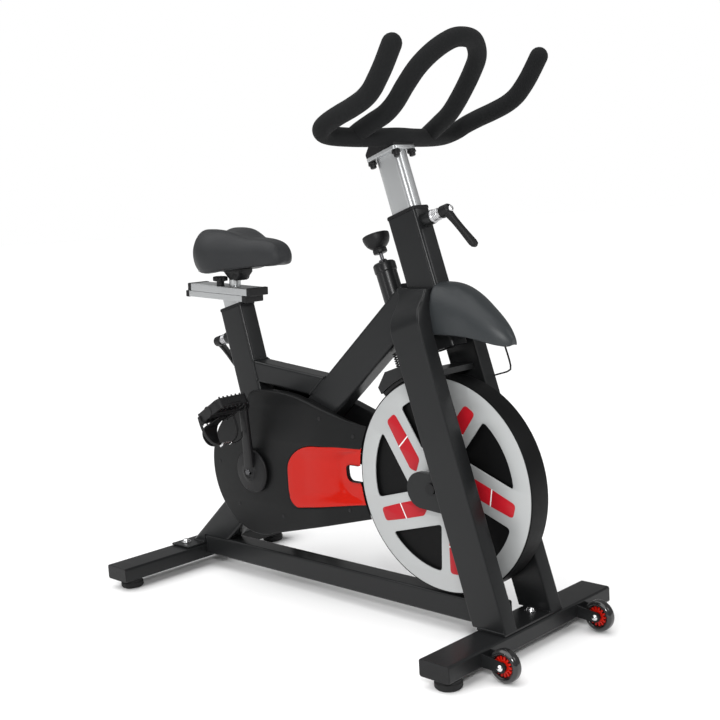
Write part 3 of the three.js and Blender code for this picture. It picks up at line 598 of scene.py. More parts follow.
def feet():
    """Rubber feet on their studs."""
    profile = [(0, 0), (24, 0), (27.5, 4), (27.5, 13), (25.5, 15), (25.5, 18), (26.5, 20), (24, 23.2),
               (5, 23.2), (5, 40), (0, 40)]
    for name in BARS:
        for side, _ in SIDES:
            node = f"{name}_foot_{side}"
            place = shift(*middle(node)[:2], 0)
            piece(f"{name}_rubber_foot_{side}", spun(profile, 1.2, 48), "rubber", f"foot_{name}_{side}", node,
                  place=place, limit=50)


def castors():
    """Transport wheels: tyre, hub, red spokes, and the bolt heads on their brackets."""
    tyre = [(22, -10), (27, -12), (32.5, -7), (32.5, 7), (27, 12), (22, 10)]
    hub = [(4.3, -10.5), (8, -10.5), (8.5, -5), (22.4, -4.5), (22.4, 4.5), (8.5, 5), (8, 10.5), (4.3, 10.5)]
    dome = [(0, 7), (4, 6), (6.6, 2.5), (7, 0), (0, 0)]
    star = []
    for k in range(14):
        turn = 360 / 14 * k
        star += arc(0, 0, 20.5, turn - 6, turn + 6, 2) + arc(0, 0, 13.5, turn + 9, turn + 17, 2)
    for side, sign in SIDES:
        body = f"wheel_{side}"
        node = f"transport_wheel_{side}"
        place = shift(*middle(node))
        rubber = spun(tyre, 4, 64, "Y", closed=True)
        piece(f"castor_tyre_{side}", rubber, "tyre", body, node, place=place, limit=50)
        piece(f"castor_hub_{side}", spun(hub, 0.8, 48, "Y", closed=True), "plastic", body, place=place)
        spokes = sheet([star, circle(8.6, 30)], -8.5, 8.5, 0.8, 2)
        piece(f"castor_spokes_{side}", spokes, "red", body, place=place, limit=40)
        for end in (-1, 1):
            where = "out" if end == sign else "in"
            cap = spun(dome, 1.2, 28, "Y", side=end)
            piece(f"castor_bolt_{side}_{where}", cap, "bright", "frame",
                  place=place @ shift(0, end * 16.6, 0))


# ---------- Flywheel ----------


def polar(t, offset, angle):
    """A point t along a spoke's radial edge and offset from it towards the next window."""
    a = math.radians(angle)
    return (t * math.cos(a) - offset * math.sin(a), t * math.sin(a) + offset * math.cos(a))


def flywheel():
    """The black disc with rim and hub, and the pale spoke face on its right side."""
    back = -WHEEL_FACE
    rim = [(20, -34), (20, -19.5), (188, -19.5), (188, 3.1 - back), (227.4, 3.1 - back),
           (227.4, 0.6 - back), (229, 0.3 - back), (230, 1.3 - back), (230, back - 3), (227.5, back - 0.5),
           (188, back - 0.5), (184, 19), (46, 19), (42, 25), (8, 25), (8, -34)]
    piece("flywheel_disc", spun(rim, 0.7, 144, "Y", closed=True), "wheel", "flywheel", "flywheel",
          place=ON_WHEEL)
    inner = SPOKE_WIDTH / math.sin(math.radians(SPOKE_STEP))
    reach = math.degrees(math.asin(SPOKE_WIDTH / WINDOW_RADIUS))
    windows = []
    for k in range(SPOKES):
        angle = SPOKE_ANGLE + SPOKE_STEP * k
        edge = arc(0, 0, WINDOW_RADIUS, angle - SPOKE_STEP + reach, angle, 14)
        shape = [(*polar(inner, 0, angle), 9), (*edge[0], 11), *edge[2:-2], (*edge[-1], 11)]
        windows.append(rounded(shape, 0, steps=6))
    face = sheet([circle(227.2, 144), circle(20.5, 40), *windows], WHEEL_FACE, WHEEL_FACE + 3, 0.7)
    piece("flywheel_spoke_face", face, "face", "flywheel", "flywheel_face", place=ON_WHEEL, limit=30)
    stickers()


def stickers():
    """Two-part red decals on each spoke, with a pale slanted gap."""
    outer = [(129.5, 21), (186, 24, 9), (183, 54, 9), (122, 56)]
    inner = [(126.5, 21), (119, 56), (68, 56, 5), (55, 44, 4), (72, 20, 6)]
    gap = [(129.4, 20.6), (121.9, 56.4), (119.1, 56.4), (126.6, 20.6)]
    parts = (("outer", outer, "sticker"), ("inner", inner, "sticker"), ("gap", gap, "white"))
    for k in range(SPOKES):
        for part, shape, mat in parts:
            placed = [(*polar(t, offset, SPOKE_ANGLE + SPOKE_STEP * k), *own) for t, offset, *own in shape]
            decal = sheet([rounded(placed, 1.0)], WHEEL_FACE - 0.45, WHEEL_FACE - 0.02, 0.12, 1)
            piece(f"spoke_decal_{part}_{k + 1}", decal, mat, "flywheel", place=ON_WHEEL)


# ---------- Covers ----------


def slant(x):
    """How far the right cover's face comes in towards the flywheel: a slope that starts softly."""
    over = x + 40
    soft = 26
    if over < -soft:
        return 0
    if over > soft:
        return over * COVER_SLOPE
    return COVER_SLOPE * (over + soft) ** 2 / (4 * soft)


def bent(bm):
    """Slices the plate and lays its outer side along the slanting face."""
    sliced(bm, [(x, 0, 0) for x in (-66, -57, -48, -40, -32, -23, -14, 20, 60)], (1, 0, 0))
    for v in bm.verts:
        share = (COVER_INNER - v.co.y) / (COVER_INNER - COVER_OUTER)
        v.co.y += slant(v.co.x) * min(1, max(0, share))
    return bm


def cover_edge(inset=0):
    """The right cover's edge behind the flywheel: round the crank and along the top."""
    back = arc(*CRANK, COVER_RADIUS - inset, 283, 102, 48)
    top = [(-270, 478), (-242, 488), (-200, 490), (-159, 489), (-130, 486), (-105, 482), (-66, 472),
           (-27, 459), (4, 449), (40, 437), (80, 428)]
    return back + [(x, z - inset) for x, z in top]


def insert_back(inset=0):
    """The red insert's edge away from the flywheel; its upper corner is a quarter of an ellipse."""
    x0, z0, z1 = -147 + inset, 218 + inset, 370 - inset
    quarter = [math.pi * (0.5 + k / 36) for k in range(19)]
    corner = [(x0 + 100 + 100 * math.cos(t), z1 - 68 + 68 * math.sin(t)) for t in quarter]
    lower = arc(x0 + 34, z0 + 42, 34, 180, 200, 4) + arc(x0 + 34, z0 + 34, 34, 202, 260, 9)
    return corner + lower + [(60, z0 + 27)]


def covers():
    """Both belt covers; the right one is a C round the red insert."""
    near = WHEEL_RADIUS + 3
    shape = rounded(cover_edge() + arc(*AXLE, near, 153, 166.3, 6), 5, steps=3)
    shape += insert_back(-0.4) + arc(*AXLE, near, 198.6, 206.5, 4)
    shell = bent(sheet([shape], COVER_OUTER, -24.6, 4.5, 5))
    piece("right_belt_cover", shell, "cover", "frame", "belt_cover_right", limit=40)
    seam = [(x, -45.6 + slant(x) * 0.85, z) for x, z in cover_edge(0.6) if z > 380 and x > -320]
    piece("right_cover_lip", sweep(spline(seam, 3), 0.9, 8, round_ends=True), "cover", "frame")
    boss = spun([(0, 3.4), (30, 3.4), (34, 2), (35, 0), (0, 0)], 2, 64, "Y", side=-1)
    piece("right_cover_boss", boss, "cover", "frame", place=shift(CRANK[0], COVER_OUTER + 0.6, CRANK[1]))
    left = [*arc(*CRANK, COVER_RADIUS, 283, 102, 48), (-272, 484), (-255, 497), (-225, 502), (-180, 500),
            (-140, 494), (-105, 485), (-2, 466), (56, 447), *arc(*AXLE, 48, 72, -84, 18)]
    hand = rounded([(-80, 262), (110, 262), (110, 345), (-80, 345)], 14)
    plate = sheet([rounded(left, 6, steps=3), hand], 30.5, 56, 4.5, 5)
    piece("left_belt_cover", plate, "cover", "frame", "belt_cover_left", limit=40)
    head = [(0, 0.9), (3.6, 0.9), (4.6, 0.2), (4.6, -1), (0, -1)]
    spots = ((-30, 437), (60, 402), (-395, 300), (-170, 190), (40, 232), (-330, 200))
    for k, (x, z) in enumerate(spots):
        screw = spun(head, 0.4, 20, "Y", side=-1)
        piece(f"cover_screw_{k + 1}", screw, "plastic", "frame",
              place=shift(x, COVER_OUTER - 0.1 + slant(x), z))


def dish(x, z, hole):
    """How deep the insert's face lies: a shallow dish, and a funnel round the hole."""
    from_end = x + 141
    from_base = z - 218 - (x + 113) * 27 / 173
    from_top = 370 + (x + 47) * 8 / 123 - z
    sink = 4 * smooth(from_end / 55) * smooth(from_base / 36) * smooth(from_top / 36)
    near = distance((x, z), hole)
    funnel = 18 * math.exp(-((near / 25) ** 1.5)) * smooth(from_base / 22) * smooth(from_top / 22)
    return min(sink + funnel, 20 - slant(x))


def insert():
    """The glossy dish with its funnel, the wall of the hole, and the black plates behind its edge."""
    notch = rounded([(120, 297, 0.1), (34, 297, 26), (32, 335, 11), (120, 335, 0.1)], 12, steps=10)
    hole = [(71, 297), *(p for p in notch if p[0] < 69), (70, 335)]
    front = arc(*AXLE, WHEEL_RADIUS + 3.5, 198.2, 166, 16)
    below = [p for p in front if p[1] < 296]
    above = [p for p in front if p[1] > 336]
    bm = sheet([insert_back() + below + hole + above], COVER_OUTER - 1, COVER_OUTER, 0.3, 1)
    sliced(bm, [(x, 0, 0) for x in range(-144, 84, 4)], (1, 0, 0))
    sliced(bm, [(0, 0, z) for z in range(221, 378, 4)], (0, 0, 1))
    for v in bm.verts:
        v.co.y += 1.8 + slant(v.co.x) + dish(v.co.x, v.co.z, hole)
    piece("red_insert", bm, "red", "frame", "cover_insert", limit=60)
    wall = skin([[(x, y, z) for x, z in hole] for y in (-33, -28, -22)], caps=False, around=False)
    piece("insert_hole_wall", wall, "cover", "frame", limit=60)
    for name, z in (("upper", 336), ("lower", 272)):
        piece(f"insert_backing_{name}", block(34, 73, -18, -15, z, z + 24), "cover", "frame", bevel=0.5)


# ---------- Crank and pedals ----------


def crank_end(sign):
    """The end of the arm on that side; the right arm stands up at rest."""
    a = math.radians(CRANK_ANGLE)
    reach = -sign * CRANK_LENGTH
    return Vector((CRANK[0] + reach * math.sin(a), 0, CRANK[1] + reach * math.cos(a)))


def cranks():
    """Each arm with its disc, pedal axle and bolt."""
    disc = [(0, 57), (53, 57), (53, 60.5), (49, 64), (30, 65.5), (22, 67), (20, 71), (15, 72), (14, 69.5),
            (0, 69.5)]
    eye = [(0, -7), (15, -7), (16, -5), (16, 6), (14, 8), (0, 8)]
    head = [(0, 7), (6, 7), (8, 5), (8, 0), (0, 0)]
    sizes = ((0.02, 31, 15), (0.15, 30, 14), (0.5, 27, 12.5), (0.86, 25, 12), (1.0, 27, 12))
    for side, sign in SIDES:
        x, _, z = crank_end(sign)
        start = Vector((CRANK[0], sign * 65, CRANK[1]))
        stop = Vector((x, sign * 90, z))
        arm = limb(start, stop - start, (0, 1, 0), sizes, 5)
        arm = merge(arm, moved(spun(eye, 2, 40, "Y"), shift(*stop)))
        piece(f"crank_arm_body_{side}", arm, "plastic", "crank", f"crank_arm_{side}")
        piece(f"crank_disc_{side}", spun(disc, 1.5, 72, "Y", side=sign), "plastic", "crank", place=ON_CRANK)
        collared = rod((x, sign * 90, z), (x, sign * 104, z), 8.5)
        axle = merge(collared, rod((x, sign * 100, z), (x, sign * 190, z), 6, 20))
        piece(f"pedal_axle_{side}", axle, "dark", "crank")
        bolt = spun(head, 1, 6, "Y", side=sign)
        piece(f"crank_bolt_{side}", bolt, "dark", "crank", place=shift(CRANK[0], sign * 69, CRANK[1]))


def pedals():
    """Flat pedals with slots, ribs and spikes, their reflectors and toe cages."""
    slots = [rounded([(x0, -34), (x1, -34), (x1, 34), (x0, 34)], 5) for x0, x1 in ((-37, -15), (15, 37))]
    flat = Matrix.Rotation(math.radians(90), 4, "X")
    for side, sign in SIDES:
        x, _, z = crank_end(sign)
        turn = Matrix.Rotation(math.radians(PEDAL_TURN[side]), 4, "Y")
        place = shift(x, sign * PEDAL_MIDDLE, z) @ turn
        body = f"pedal_{side}"
        deck = moved(sheet([rounded_rect(96, 90, 14), *slots], -12, 12, 2.2), flat)
        ribs = [block(x - 12, x + 12, y - 1.6, y + 1.6, -9, 9) for x in (-26, 26) for y in (-22, -8, 8, 22)]
        spikes = [rod((x, y, 11 * up), (x, y, 15 * up), 2.6, 10, 1.6)
                  for x in (-46, 46) for y in range(-36, 37, 12) for up in (1, -1)]
        shape = merge(deck, *ribs, *spikes, rod((0, -46, 0), (0, 46, 0), 13, 28))
        piece(f"pedal_body_{side}", shape, "plastic", body, body, place=place)
        ends = merge(block(-49.4, -46, -18, 18, -6, 6), block(46, 49.4, -18, 18, -6, 6))
        piece(f"pedal_reflector_{side}", ends, "plastic", body, place=place, bevel=0.8)
        cage(side, body, place)


def cage(side, body, place):
    """Toe clip, strap and buckle."""
    across = Vector((0, 1, 0))
    band = [(14, 14), (50, 14), (66, 15), (78, 22), (84, 36), (81, 52), (70, 62), (52, 66)]
    path = spline([(x, 0, z) for x, z in band], 6)
    last = len(path) - 1
    rings = []
    for i, p in enumerate(path):
        share = i / last
        wide = 24 + 20 * math.sin(math.pi * 1.15 * min(share, 0.87)) + (4 if share > 0.87 else 0)
        along = (path[min(last, i + 1)] - path[max(0, i - 1)]).normalized()
        out = along.cross(across)
        rings.append([p + across * a + out * b for a, b in rounded_rect(wide, 3.4, 1.5, 3)])
    piece(f"toe_clip_{side}", skin(rings), "plastic", body, f"toe_cage_{side}", place=place, limit=40)
    rise = [(36, 47, -4), (37, 49, 20), (39, 45, 48), (42, 28, 67)]
    ring = [(x, -y, z) for x, y, z in rise] + [(42, 0, 71)] + rise[::-1] + [(36, 20, -11), (36, -20, -11)]
    strap = sweep(spline([*ring, ring[0]])[:-1], 1, closed=True, section=rounded_rect(2.2, 9, 0.9, 2))
    piece(f"toe_strap_{side}", strap, "nylon", body, place=place, limit=50)
    spans = ((31, 47, -14, 12, 70.5, 72.5), (33, 45, -16, -13, 70, 76), (33, 45, 11, 14, 70, 75))
    buckle = merge(*[block(*span) for span in spans])
    piece(f"strap_buckle_{side}", buckle, "bright", body, place=place, bevel=0.6)
    tail = spline([(40, 10, 73), (41, 30, 74), (42, 50, 66), (43, 58, 52)])
    end = sweep(tail, 1, section=rounded_rect(2, 9, 0.9, 2))
    piece(f"strap_tail_{side}", end, "nylon", body, place=place, limit=50)


# ---------- Seat ----------


def collar(name, node, place, top):
    """The plastic rim on the end of a tube, closing in on the post."""
    outer = ((0.3, 1.0), (1, 1.9), (5.5, 1.9), (7.3, 0.6))
    inner = ((7.6, 0.5), (-2, 0.3))
    rings = [[(x, y, top + z) for x, y in grown(TUBE, by)] for z, by in outer]
    rings += [[(x, y, top + z) for x, y in grown(POST, by)] for z, by in inner]
    piece(name, skin(rings), "plastic", "frame", node, place=place, limit=40)


def posts():
    """Both oval posts with their collars, the handlebar's flange and its bolts."""
    toward = SEAT.inverted() @ RAIL
    seat = prism(grown(POST, 0, 8), -205, 130)
    geometry = seat.verts[:] + seat.edges[:] + seat.faces[:]
    under_rail = toward @ Vector((0, 0, -SLIDE))
    normal = toward.to_3x3() @ Vector((0, 0, 1))
    cut = bmesh.ops.bisect_plane(seat, geom=geometry, plane_co=under_rail, plane_no=normal, clear_outer=True)
    edges = [e for e in cut["geom_cut"] if isinstance(e, bmesh.types.BMEdge)]
    bmesh.ops.contextual_create(seat, geom=edges)
    piece("seat_post_tube", seat, "silver", "seat_post", "seat_post", place=SEAT)
    collar("seat_tube_collar", "seat_collar", SEAT, 80)
    bar = prism(grown(POST, 0, 8), -100, 219)
    piece("handlebar_post_tube", bar, "silver", "handlebar", "handlebar_post", place=HEAD)
    plate = prism(rounded_rect(86, 70, 9, 5), 215.5, 224)
    piece("handlebar_plate", plate, "silver", "handlebar", place=HEAD, bevel=1.6)
    collar("head_tube_collar", "head_collar", HEAD, 86)
    head = [(0, 201), (5.4, 201), (6.8, 202.5), (6.8, 208), (9.5, 208.5), (9.5, 211), (8.5, 215.3),
            (0, 215.3)]
    for k, (x, y) in enumerate(((-35, -24), (-35, 24), (36, -24), (36, 24))):
        bolt = spun(head, 0.5, 24)
        piece(f"handlebar_bolt_{k + 1}", bolt, "plastic", "handlebar", place=HEAD @ shift(x, y, 0))


def sleeve(name, x, inward, span, z0, z1, body):
    """End cap: a thin wall over the last millimetres of a rail, closed at its end."""
    tip = x + (4 if inward < 0 else -4)
    x0, x1 = sorted((tip, x + inward))
    piece(name, block(x0, x1, -span, span, z0, z1), "plastic", body, place=RAIL, bevel=1.8)


def seat_parts():
    """The rail on the seat post, and on it the slider with its pin, knob and clamp."""
    spans = ((-27, -7.5, -7.5, 7.5), (7.5, 27, -7.5, 7.5), (-10, 10, -7.5, -1))
    rail = merge(*[block(*RAIL_ENDS, *span) for span in spans])
    piece("rail_profile", rail, "silver", "seat_post", "seat_rail", place=RAIL, bevel=1.2)
    slider = block(*SLIDER_ENDS, -29, 29, SLIDE, SLIDE + 18)
    piece("slider_profile", slider, "silver", "seat_slider", "seat_slider", place=RAIL, bevel=2.2)
    tongue = block(-49, 42, -6, 6, 0, SLIDE + 1)
    piece("slider_tongue", tongue, "steel", "seat_slider", place=RAIL, bevel=0.6)
    sleeve("rail_cap_front", RAIL_ENDS[1], -12, 28.2, -8.6, 7.6, "seat_post")
    sleeve("rail_cap_rear", RAIL_ENDS[0], 8, 28.2, -8.6, 7.6, "seat_post")
    sleeve("slider_cap_front", SLIDER_ENDS[1], -8, 30.2, SLIDE, SLIDE + 19, "seat_slider")
    sleeve("slider_cap_rear", SLIDER_ENDS[0], 8, 30.2, SLIDE, SLIDE + 19, "seat_slider")
    pin = spun([(0, 46), (14.3, 46), (14.3, 17.5), (0, 17.5)], 0.6, 48)
    piece("saddle_pin", pin, "silver", "seat_slider", place=RAIL @ shift(38, 0, SLIDE))
    knob()
    clamp()


def knob():
    """The slide's clamp knob: a wavy grip on a stem."""
    star = []
    for k in range(96):
        a = 2 * math.pi * k / 96
        r = 16.6 + 1.6 * math.tanh(2.2 * math.cos(8 * a))
        star.append((r * math.cos(a), r * math.sin(a)))
    levels = ((30, 0.9), (30.8, 0.98), (32, 1.0), (38.5, 1.0), (40.4, 0.95), (41, 0.86), (40.4, 0.7))
    grip = skin([[(x * s, y * s, z) for x, y in star] for z, s in levels])
    stem = spun([(10.5, 18.3), (9.4, 20), (9.4, 29), (10, 30.5), (0, 30.5)], 1, 32)
    shape = merge(grip, stem, rod((0, 0, 4), (0, 0, 20), 5, 16))
    piece("slide_knob", shape, "plastic", "seat_knob", "seat_slide_knob", place=RAIL @ shift(6, -20, SLIDE))


def clamp():
    """The saddle's black clamp on its pin, and the base pan under the padding."""
    levels = ((34, 38, 28), (35.5, 43, 31), (41, 50, 35), (47, 58, 40), (54, 66, 46), (62, 66, 46))
    shape = skin([[(x, y, z) for x, y in rounded_rect(wide, deep, 9)] for z, wide, deep in levels])
    piece("saddle_clamp_block", shape, "plastic", "seat_slider", "saddle_clamp",
          place=RAIL @ shift(50, 0, SLIDE), limit=30)
    for side, sign in SIDES:
        cheek = spun([(0, 7), (7, 7), (11, 4.5), (12.5, 0), (0, 0)], 1.5, 40, "Y", side=sign)
        place = RAIL @ shift(60, sign * 15, SLIDE + 45)
        piece(f"clamp_cheek_{side}", cheek, "plastic", "seat_slider", place=place)
    half = [(-30, 40), (-10, 50), (25, 50), (60, 34), (80, 22)]
    pan = prism(rounded(half + [(x, -y) for x, y in reversed(half)], 12), SLIDE + 56, SLIDE + 64)
    piece("saddle_pan", pan, "plastic", "seat_slider", place=RAIL, bevel=1.5)


# The saddle along x: half width, then the heights of its lobes, its middle and its underside.
SADDLE_WIDTH = [(-418, 62), (-408, 78), (-395, 88), (-370, 97), (-345, 98), (-320, 91), (-300, 80),
                (-275, 66), (-250, 53), (-225, 44), (-200, 38), (-180, 35), (-160, 32), (-156, 31)]
SADDLE_LOBE = [(-418, 867), (-405, 871), (-385, 873.5), (-350, 872.5), (-325, 869), (-300, 861), (-280, 853),
               (-262, 847), (-240, 845), (-220, 843), (-200, 840), (-180, 834), (-165, 827), (-156, 820)]
SADDLE_MIDDLE = [(-418, 850), (-400, 859), (-370, 864), (-340, 864), (-310, 858), (-285, 851), (-260, 846),
                 (-240, 845), (-220, 843), (-200, 840), (-180, 834), (-165, 827), (-156, 820)]
SADDLE_BASE = [(-418, 786), (-410, 777), (-392, 769), (-370, 765), (-345, 766), (-320, 770), (-300, 773),
               (-250, 777), (-200, 780), (-165, 782), (-156, 785)]
SADDLE_BACK = -392
SADDLE_NOSE = -180


def saddle_ring(x, count=44):
    """Cross-section of the saddle: two lobes with a groove between them, full sides, flat underneath."""
    tables = (SADDLE_WIDTH, SADDLE_LOBE, SADDLE_MIDDLE, SADDLE_BASE)
    w, lobe, groove, base = [between(table, x) for table in tables]
    high = lobe - base
    hollow = 8 * smooth((-190 - x) / 60)
    half = [(0, groove), (0.20 * w, groove + 0.4 * (lobe - groove)), (0.50 * w, lobe),
            (0.78 * w, lobe - 0.13 * high), (0.95 * w, lobe - 0.36 * high), (w, lobe - 0.60 * high),
            (0.93 * w, base + 0.15 * high), (0.76 * w, base + 0.01 * high), (0.42 * w, base + hollow - 1),
            (0, base + hollow)]
    pts = [Vector((0, y, z)) for y, z in half]
    pts += [Vector((0, -y, z)) for y, z in reversed(half[1:-1])]
    loop = spline([*pts, pts[0]])[:-1]
    step = len(loop) / count
    return [loop[int(i * step)] for i in range(count)]


def saddle():
    """Broad two-lobed rear with a centre groove, narrowing to a rounded nose that droops."""
    stations = [-418, -416.5, -413, -408, -401, -392, -381, -368, -355, -340, -325, -310, -295, -280, -265,
                -250, -235, -220, -205, -192, -181, -172, -165, -160, -157.5, -156.3]
    rings = []
    for x in stations:
        shrink, level = 1.0, 814
        if x < SADDLE_BACK:
            shrink = math.sqrt(max(0.02, 1 - ((SADDLE_BACK - x) / 26.2) ** 2)) ** 0.75
        if x > SADDLE_NOSE:
            shrink = math.sqrt(max(0.02, 1 - ((x - SADDLE_NOSE) / 24.2) ** 2)) ** 0.8
            level = 795
        rings.append([(x, p.y * shrink, level + (p.z - level) * shrink) for p in saddle_ring(x)])
    body = piece("saddle_cover", skin(rings), "vinyl", "seat_slider", "saddle", limit=180)
    finer(body, 2)
    for side, first in (("left", 1), ("right", -1)):
        line = [Vector(ring[16 * first]) + Vector((0, first * 0.1, 0)) for ring in rings[5:-5]]
        seam = sweep(spline(line, 4), 0.5, 8, round_ends=True)
        piece(f"saddle_base_seam_{side}", seam, "thread", "seat_slider")


# ---------- Handlebar ----------


FOAM_RADIUS = 19.2
HORN = [(212, 0, 1043), (205, 60, 1042), (197, 120, 1043), (189, 165, 1046), (190, 192, 1051),
        (202, 208, 1059), (223, 212, 1069), (257, 214, 1080), (293, 216, 1090), (328, 219, 1102),
        (352, 222, 1116), (370, 224, 1134), (388, 225, 1156), (412, 226, 1191)]
LOOP = [(188, 112, 1043), (210, 110, 1055), (239, 104, 1069), (268, 97, 1083), (293, 93, 1103),
        (320, 91, 1133), (347, 85, 1163), (371, 72, 1187), (388, 48, 1206.5), (397, 20, 1217.3)]


def handlebar():
    """The outer bar with both horns and the inner loop, in foam, and the clamp that holds them."""
    outer = spline([(x, -y, z) for x, y, z in reversed(HORN)] + HORN[1:])
    foam = sweep(outer, FOAM_RADIUS, 36, round_ends=True)
    piece("handlebar_outer_foam", foam, "foam", "handlebar", "handlebar", limit=60)
    loop = spline([(x, -y, z) for x, y, z in LOOP] + LOOP[::-1])
    piece("handlebar_loop_foam", sweep(loop, FOAM_RADIUS, 36), "foam", "handlebar", limit=60)
    outline = [(-42, 224.3), (42, 224.3), (42, 231), (30, 262), (2, 264), (-22, 252), (-42, 234)]
    wedge = sheet([rounded(outline, 3)], -32, 32, 2.5)
    piece("handlebar_clamp_body", wedge, "plastic", "handlebar", "handlebar_clamp", place=HEAD)


# ---------- Levers ----------


def lever(name, node, body, place, direction, height, start, handle):
    """Clamp lever: a turned bush, a cap with a handle that runs as given, and its screw."""
    turn = Matrix.Rotation(math.radians(90 * direction), 4, "Y")

    def out(reach):
        return shift(direction * (start + reach), 0, height) @ turn

    bush = [(0, 0), (14, 0), (14.5, 3), (11.5, 6.5), (13, 8.5), (11.5, 10.5), (13, 12.5), (11.5, 14.5),
            (13, 16.5), (11, 19), (10.5, 26), (0, 26)]
    piece(f"{name}_bush", spun(bush, 0.8, 40), "steel", body, place=place @ out(0.3))
    cap = [(0, 0), (12.5, 0), (13, 3), (12.5, 20), (9, 24), (0, 24)]
    sizes = ((0.0, 20, 19), (0.12, 18, 16), (0.3, 16, 13.5), (0.55, 16.5, 12.5), (0.8, 19, 13),
             (0.95, 20, 13.5), (1.02, 17, 11.5), (1.06, 8, 6))
    root = Vector((direction * (start + 38), 0, height))
    shape = merge(moved(spun(cap, 2, 40), out(25)), limb(root, Vector(handle), (1, 0, 0), sizes))
    piece(f"{name}_handle", shape, "plastic", body, node, place=place, limit=40)
    screw = spun([(0, 0), (6.5, 0), (6.5, 3), (5, 5), (0, 5.4)], 0.8, 28)
    piece(f"{name}_screw", screw, "bright", body, place=place @ out(48.5))


def levers():
    lever("head_lever", "head_clamp_lever", "head_lever", HEAD, 1, 60, 62, (44, 0, -86))
    lever("seat_lever", "seat_clamp_lever", "seat_lever", SEAT, -1, 18, 62, (-28, 62, -62))


# ---------- Brake ----------


def brake():
    """The sleeve on the frame, the threaded rod with its nut and mushroom knob, and the spring."""
    tube = [(22.7, 316), (23, 316), (23, 466), (24.8, 467.5), (24.8, 484), (21, 488), (6, 488), (6, 486)]
    piece("brake_sleeve", spun(tube, 1.5, 56), "frame", "frame", "brake_tube", place=BRAKE)
    piece("brake_screw_rod", rod((0, 0, 262), (0, 0, 520), 4.2), "dark", "brake", "brake_rod", place=BRAKE)
    nut = lathe([(0, 489), (9.5, 489), (9.5, 494), (0, 494)], 6)
    piece("brake_lock_nut", nut, "dark", "frame", place=BRAKE, bevel=0.8)
    cap = [(0, 508), (11, 508), (15.5, 509), (15.5, 517), (14, 519), (19, 522.5), (25, 529), (28.5, 537),
           (29.8, 545), (29.5, 549.5), (27, 551), (12, 552.6), (0, 553)]
    piece("brake_mushroom", spun(cap, 2.5, 64), "plastic", "brake_knob", "brake_knob", place=BRAKE, limit=40)
    turns, per_turn = 6, 20
    coil = []
    for i in range(turns * per_turn + 1):
        a = 2 * math.pi * i / per_turn
        coil.append((7.5 * math.cos(a) - 40.6, 7.5 * math.sin(a), 266 + 31 * i / (turns * per_turn)))
    piece("brake_coil", sweep(coil, 1.4, 10), "plastic", "frame", "brake_spring", place=BRAKE, limit=60)


# ---------- Guard ----------


GUARD_TOP = [(0, 1), (0.2, 0.985), (0.35, 0.92), (0.5, 0.78), (0.65, 0.58), (0.8, 0.37), (0.9, 0.2),
             (0.96, 0.06), (1, -0.045)]
GUARD_BASE = [(0, 640), (0.3, 639), (0.5, 636), (0.65, 630), (0.8, 622), (0.93, 617), (0.97, 618), (1, 624)]


def guard():
    """The beak over the front of the flywheel, open below."""
    top = [(p.x, p.y) for p in spline([(u, h, 0) for u, h in GUARD_TOP])]
    steps, across = 28, 32
    rings = []
    for i in range(steps + 1):
        u = 0.975 * math.sin(i / steps * math.pi / 2)
        x = 322 + 168 * u
        wide = 54 * (1 - u**2.1) ** 0.62
        low = between(GUARD_BASE, u)
        high = max(0.2, 631 + 112 * between(top, u) - low)
        ring = []
        for k in range(across + 1):
            t = math.pi * k / across
            rise = high * math.sin(t) ** 0.8
            y = -wide * math.copysign(abs(math.cos(t)) ** 0.84, math.cos(t))
            ring.append((x - rise * 0.13 * (1 - u), y, low + rise))
        rings.append(ring)
    bm = skin(rings, caps=False, around=False)
    bm.verts.ensure_lookup_table()
    bm.faces.new(bm.verts[-across - 1 :])
    bmesh.ops.remove_doubles(bm, verts=bm.verts, dist=0.3)
    obj = piece("flywheel_guard", bm, "guard", "frame", "front_guard", limit=60)
    thick = obj.modifiers.new("thick", "SOLIDIFY")
    thick.thickness = 3 * MM
    thick.offset = 0
    finer(obj, 1)


# ---------- Stage, in metres ----------


LAMPS = (
    ("strip", (2.3, -2.2, 1.7), 0.4, 46),
    ("side", (-0.4, -2.5, 0.85), 0.1, 4),
    ("rim", (3.0, 1.6, 2.4), 1.2, 24),
)
EYE = (1.83035, -1.80033, 0.90141)
AZIMUTH, ELEVATION, ROLL = math.radians(44.46), math.radians(7.51), math.radians(-3.39)


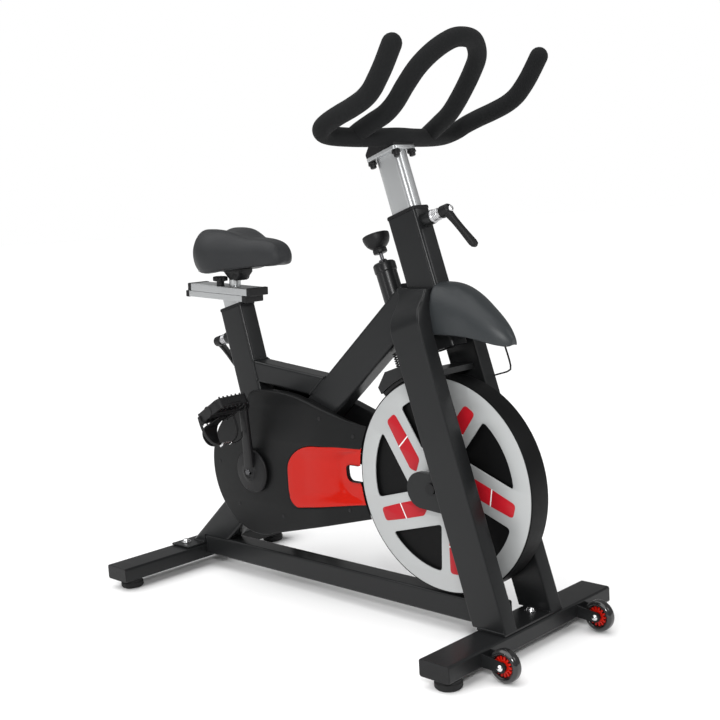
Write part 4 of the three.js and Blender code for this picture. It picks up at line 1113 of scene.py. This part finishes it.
def floor():
    """A pale matt floor without an edge in view."""
    bpy.ops.mesh.primitive_plane_add(size=120, location=(0, 0, -0.0005))
    plane = bpy.context.object
    plane.name = "floor"
    paint = bpy.data.materials.new("floor_paint")
    paint.use_nodes = True
    inputs = paint.node_tree.nodes["Principled BSDF"].inputs
    inputs["Base Color"].default_value = (0.92, 0.92, 0.92, 1)
    inputs["Roughness"].default_value = 0.95
    inputs["Specular IOR Level"].default_value = 0.1
    plane.data.materials.append(paint)


def sky():
    """White behind the object, and a weaker white light from all round."""
    world = bpy.data.worlds.new("studio")
    world.use_nodes = True
    tree = world.node_tree
    back = tree.nodes["Background"]
    back.inputs["Color"].default_value = (1, 1, 1, 1)
    path = add(tree, "LightPath")
    level = add(tree, "MapRange", To_Min=0.29, To_Max=1.0)
    tree.links.new(path.outputs["Is Camera Ray"], level.inputs["Value"])
    tree.links.new(level.outputs["Result"], back.inputs["Strength"])
    bpy.context.scene.world = world
    bpy.context.scene.view_settings.view_transform = "Standard"


def lamps():
    """One broad sun from above, and small soft lamps for the edges."""
    sun = bpy.data.lights.new("sky", "SUN")
    sun.energy = 3.0
    sun.angle = math.radians(80)
    linked("sky", sun).rotation_euler = Vector((-0.15, -0.4, 1)).to_track_quat("Z", "Y").to_euler()
    aim = Vector((0, 0, 0.7))
    for name, at, size, power in LAMPS:
        lamp = bpy.data.lights.new(name, "AREA")
        lamp.energy = power
        lamp.size = size
        holder = linked(name, lamp)
        holder.location = at
        holder.rotation_euler = (aim - Vector(at)).to_track_quat("-Z", "Y").to_euler()


def camera():
    """The view of the photo, which looks along -back with a slight roll."""
    flat = math.cos(ELEVATION)
    back = Vector((math.sin(AZIMUTH) * flat, -math.cos(AZIMUTH) * flat, math.sin(ELEVATION)))
    right = Vector((math.cos(AZIMUTH), math.sin(AZIMUTH), 0))
    up = back.cross(right)
    side = right * math.cos(ROLL) + up * math.sin(ROLL)
    top = up * math.cos(ROLL) - right * math.sin(ROLL)
    data = bpy.data.cameras.new("camera")
    data.lens = 57.46
    data.sensor_width = 36
    data.clip_end = 60
    eye = linked("camera", data)
    eye.matrix_world = shift(*EYE) @ Matrix((side, top, back)).transposed().to_4x4()
    bpy.context.scene.camera = eye


frame_parts()
end_caps()
bolts()
feet()
castors()
flywheel()
covers()
insert()
cranks()
pedals()
posts()
seat_parts()
saddle()
handlebar()
levers()
brake()
guard()
welds()
floor()
sky()
lamps()
camera()
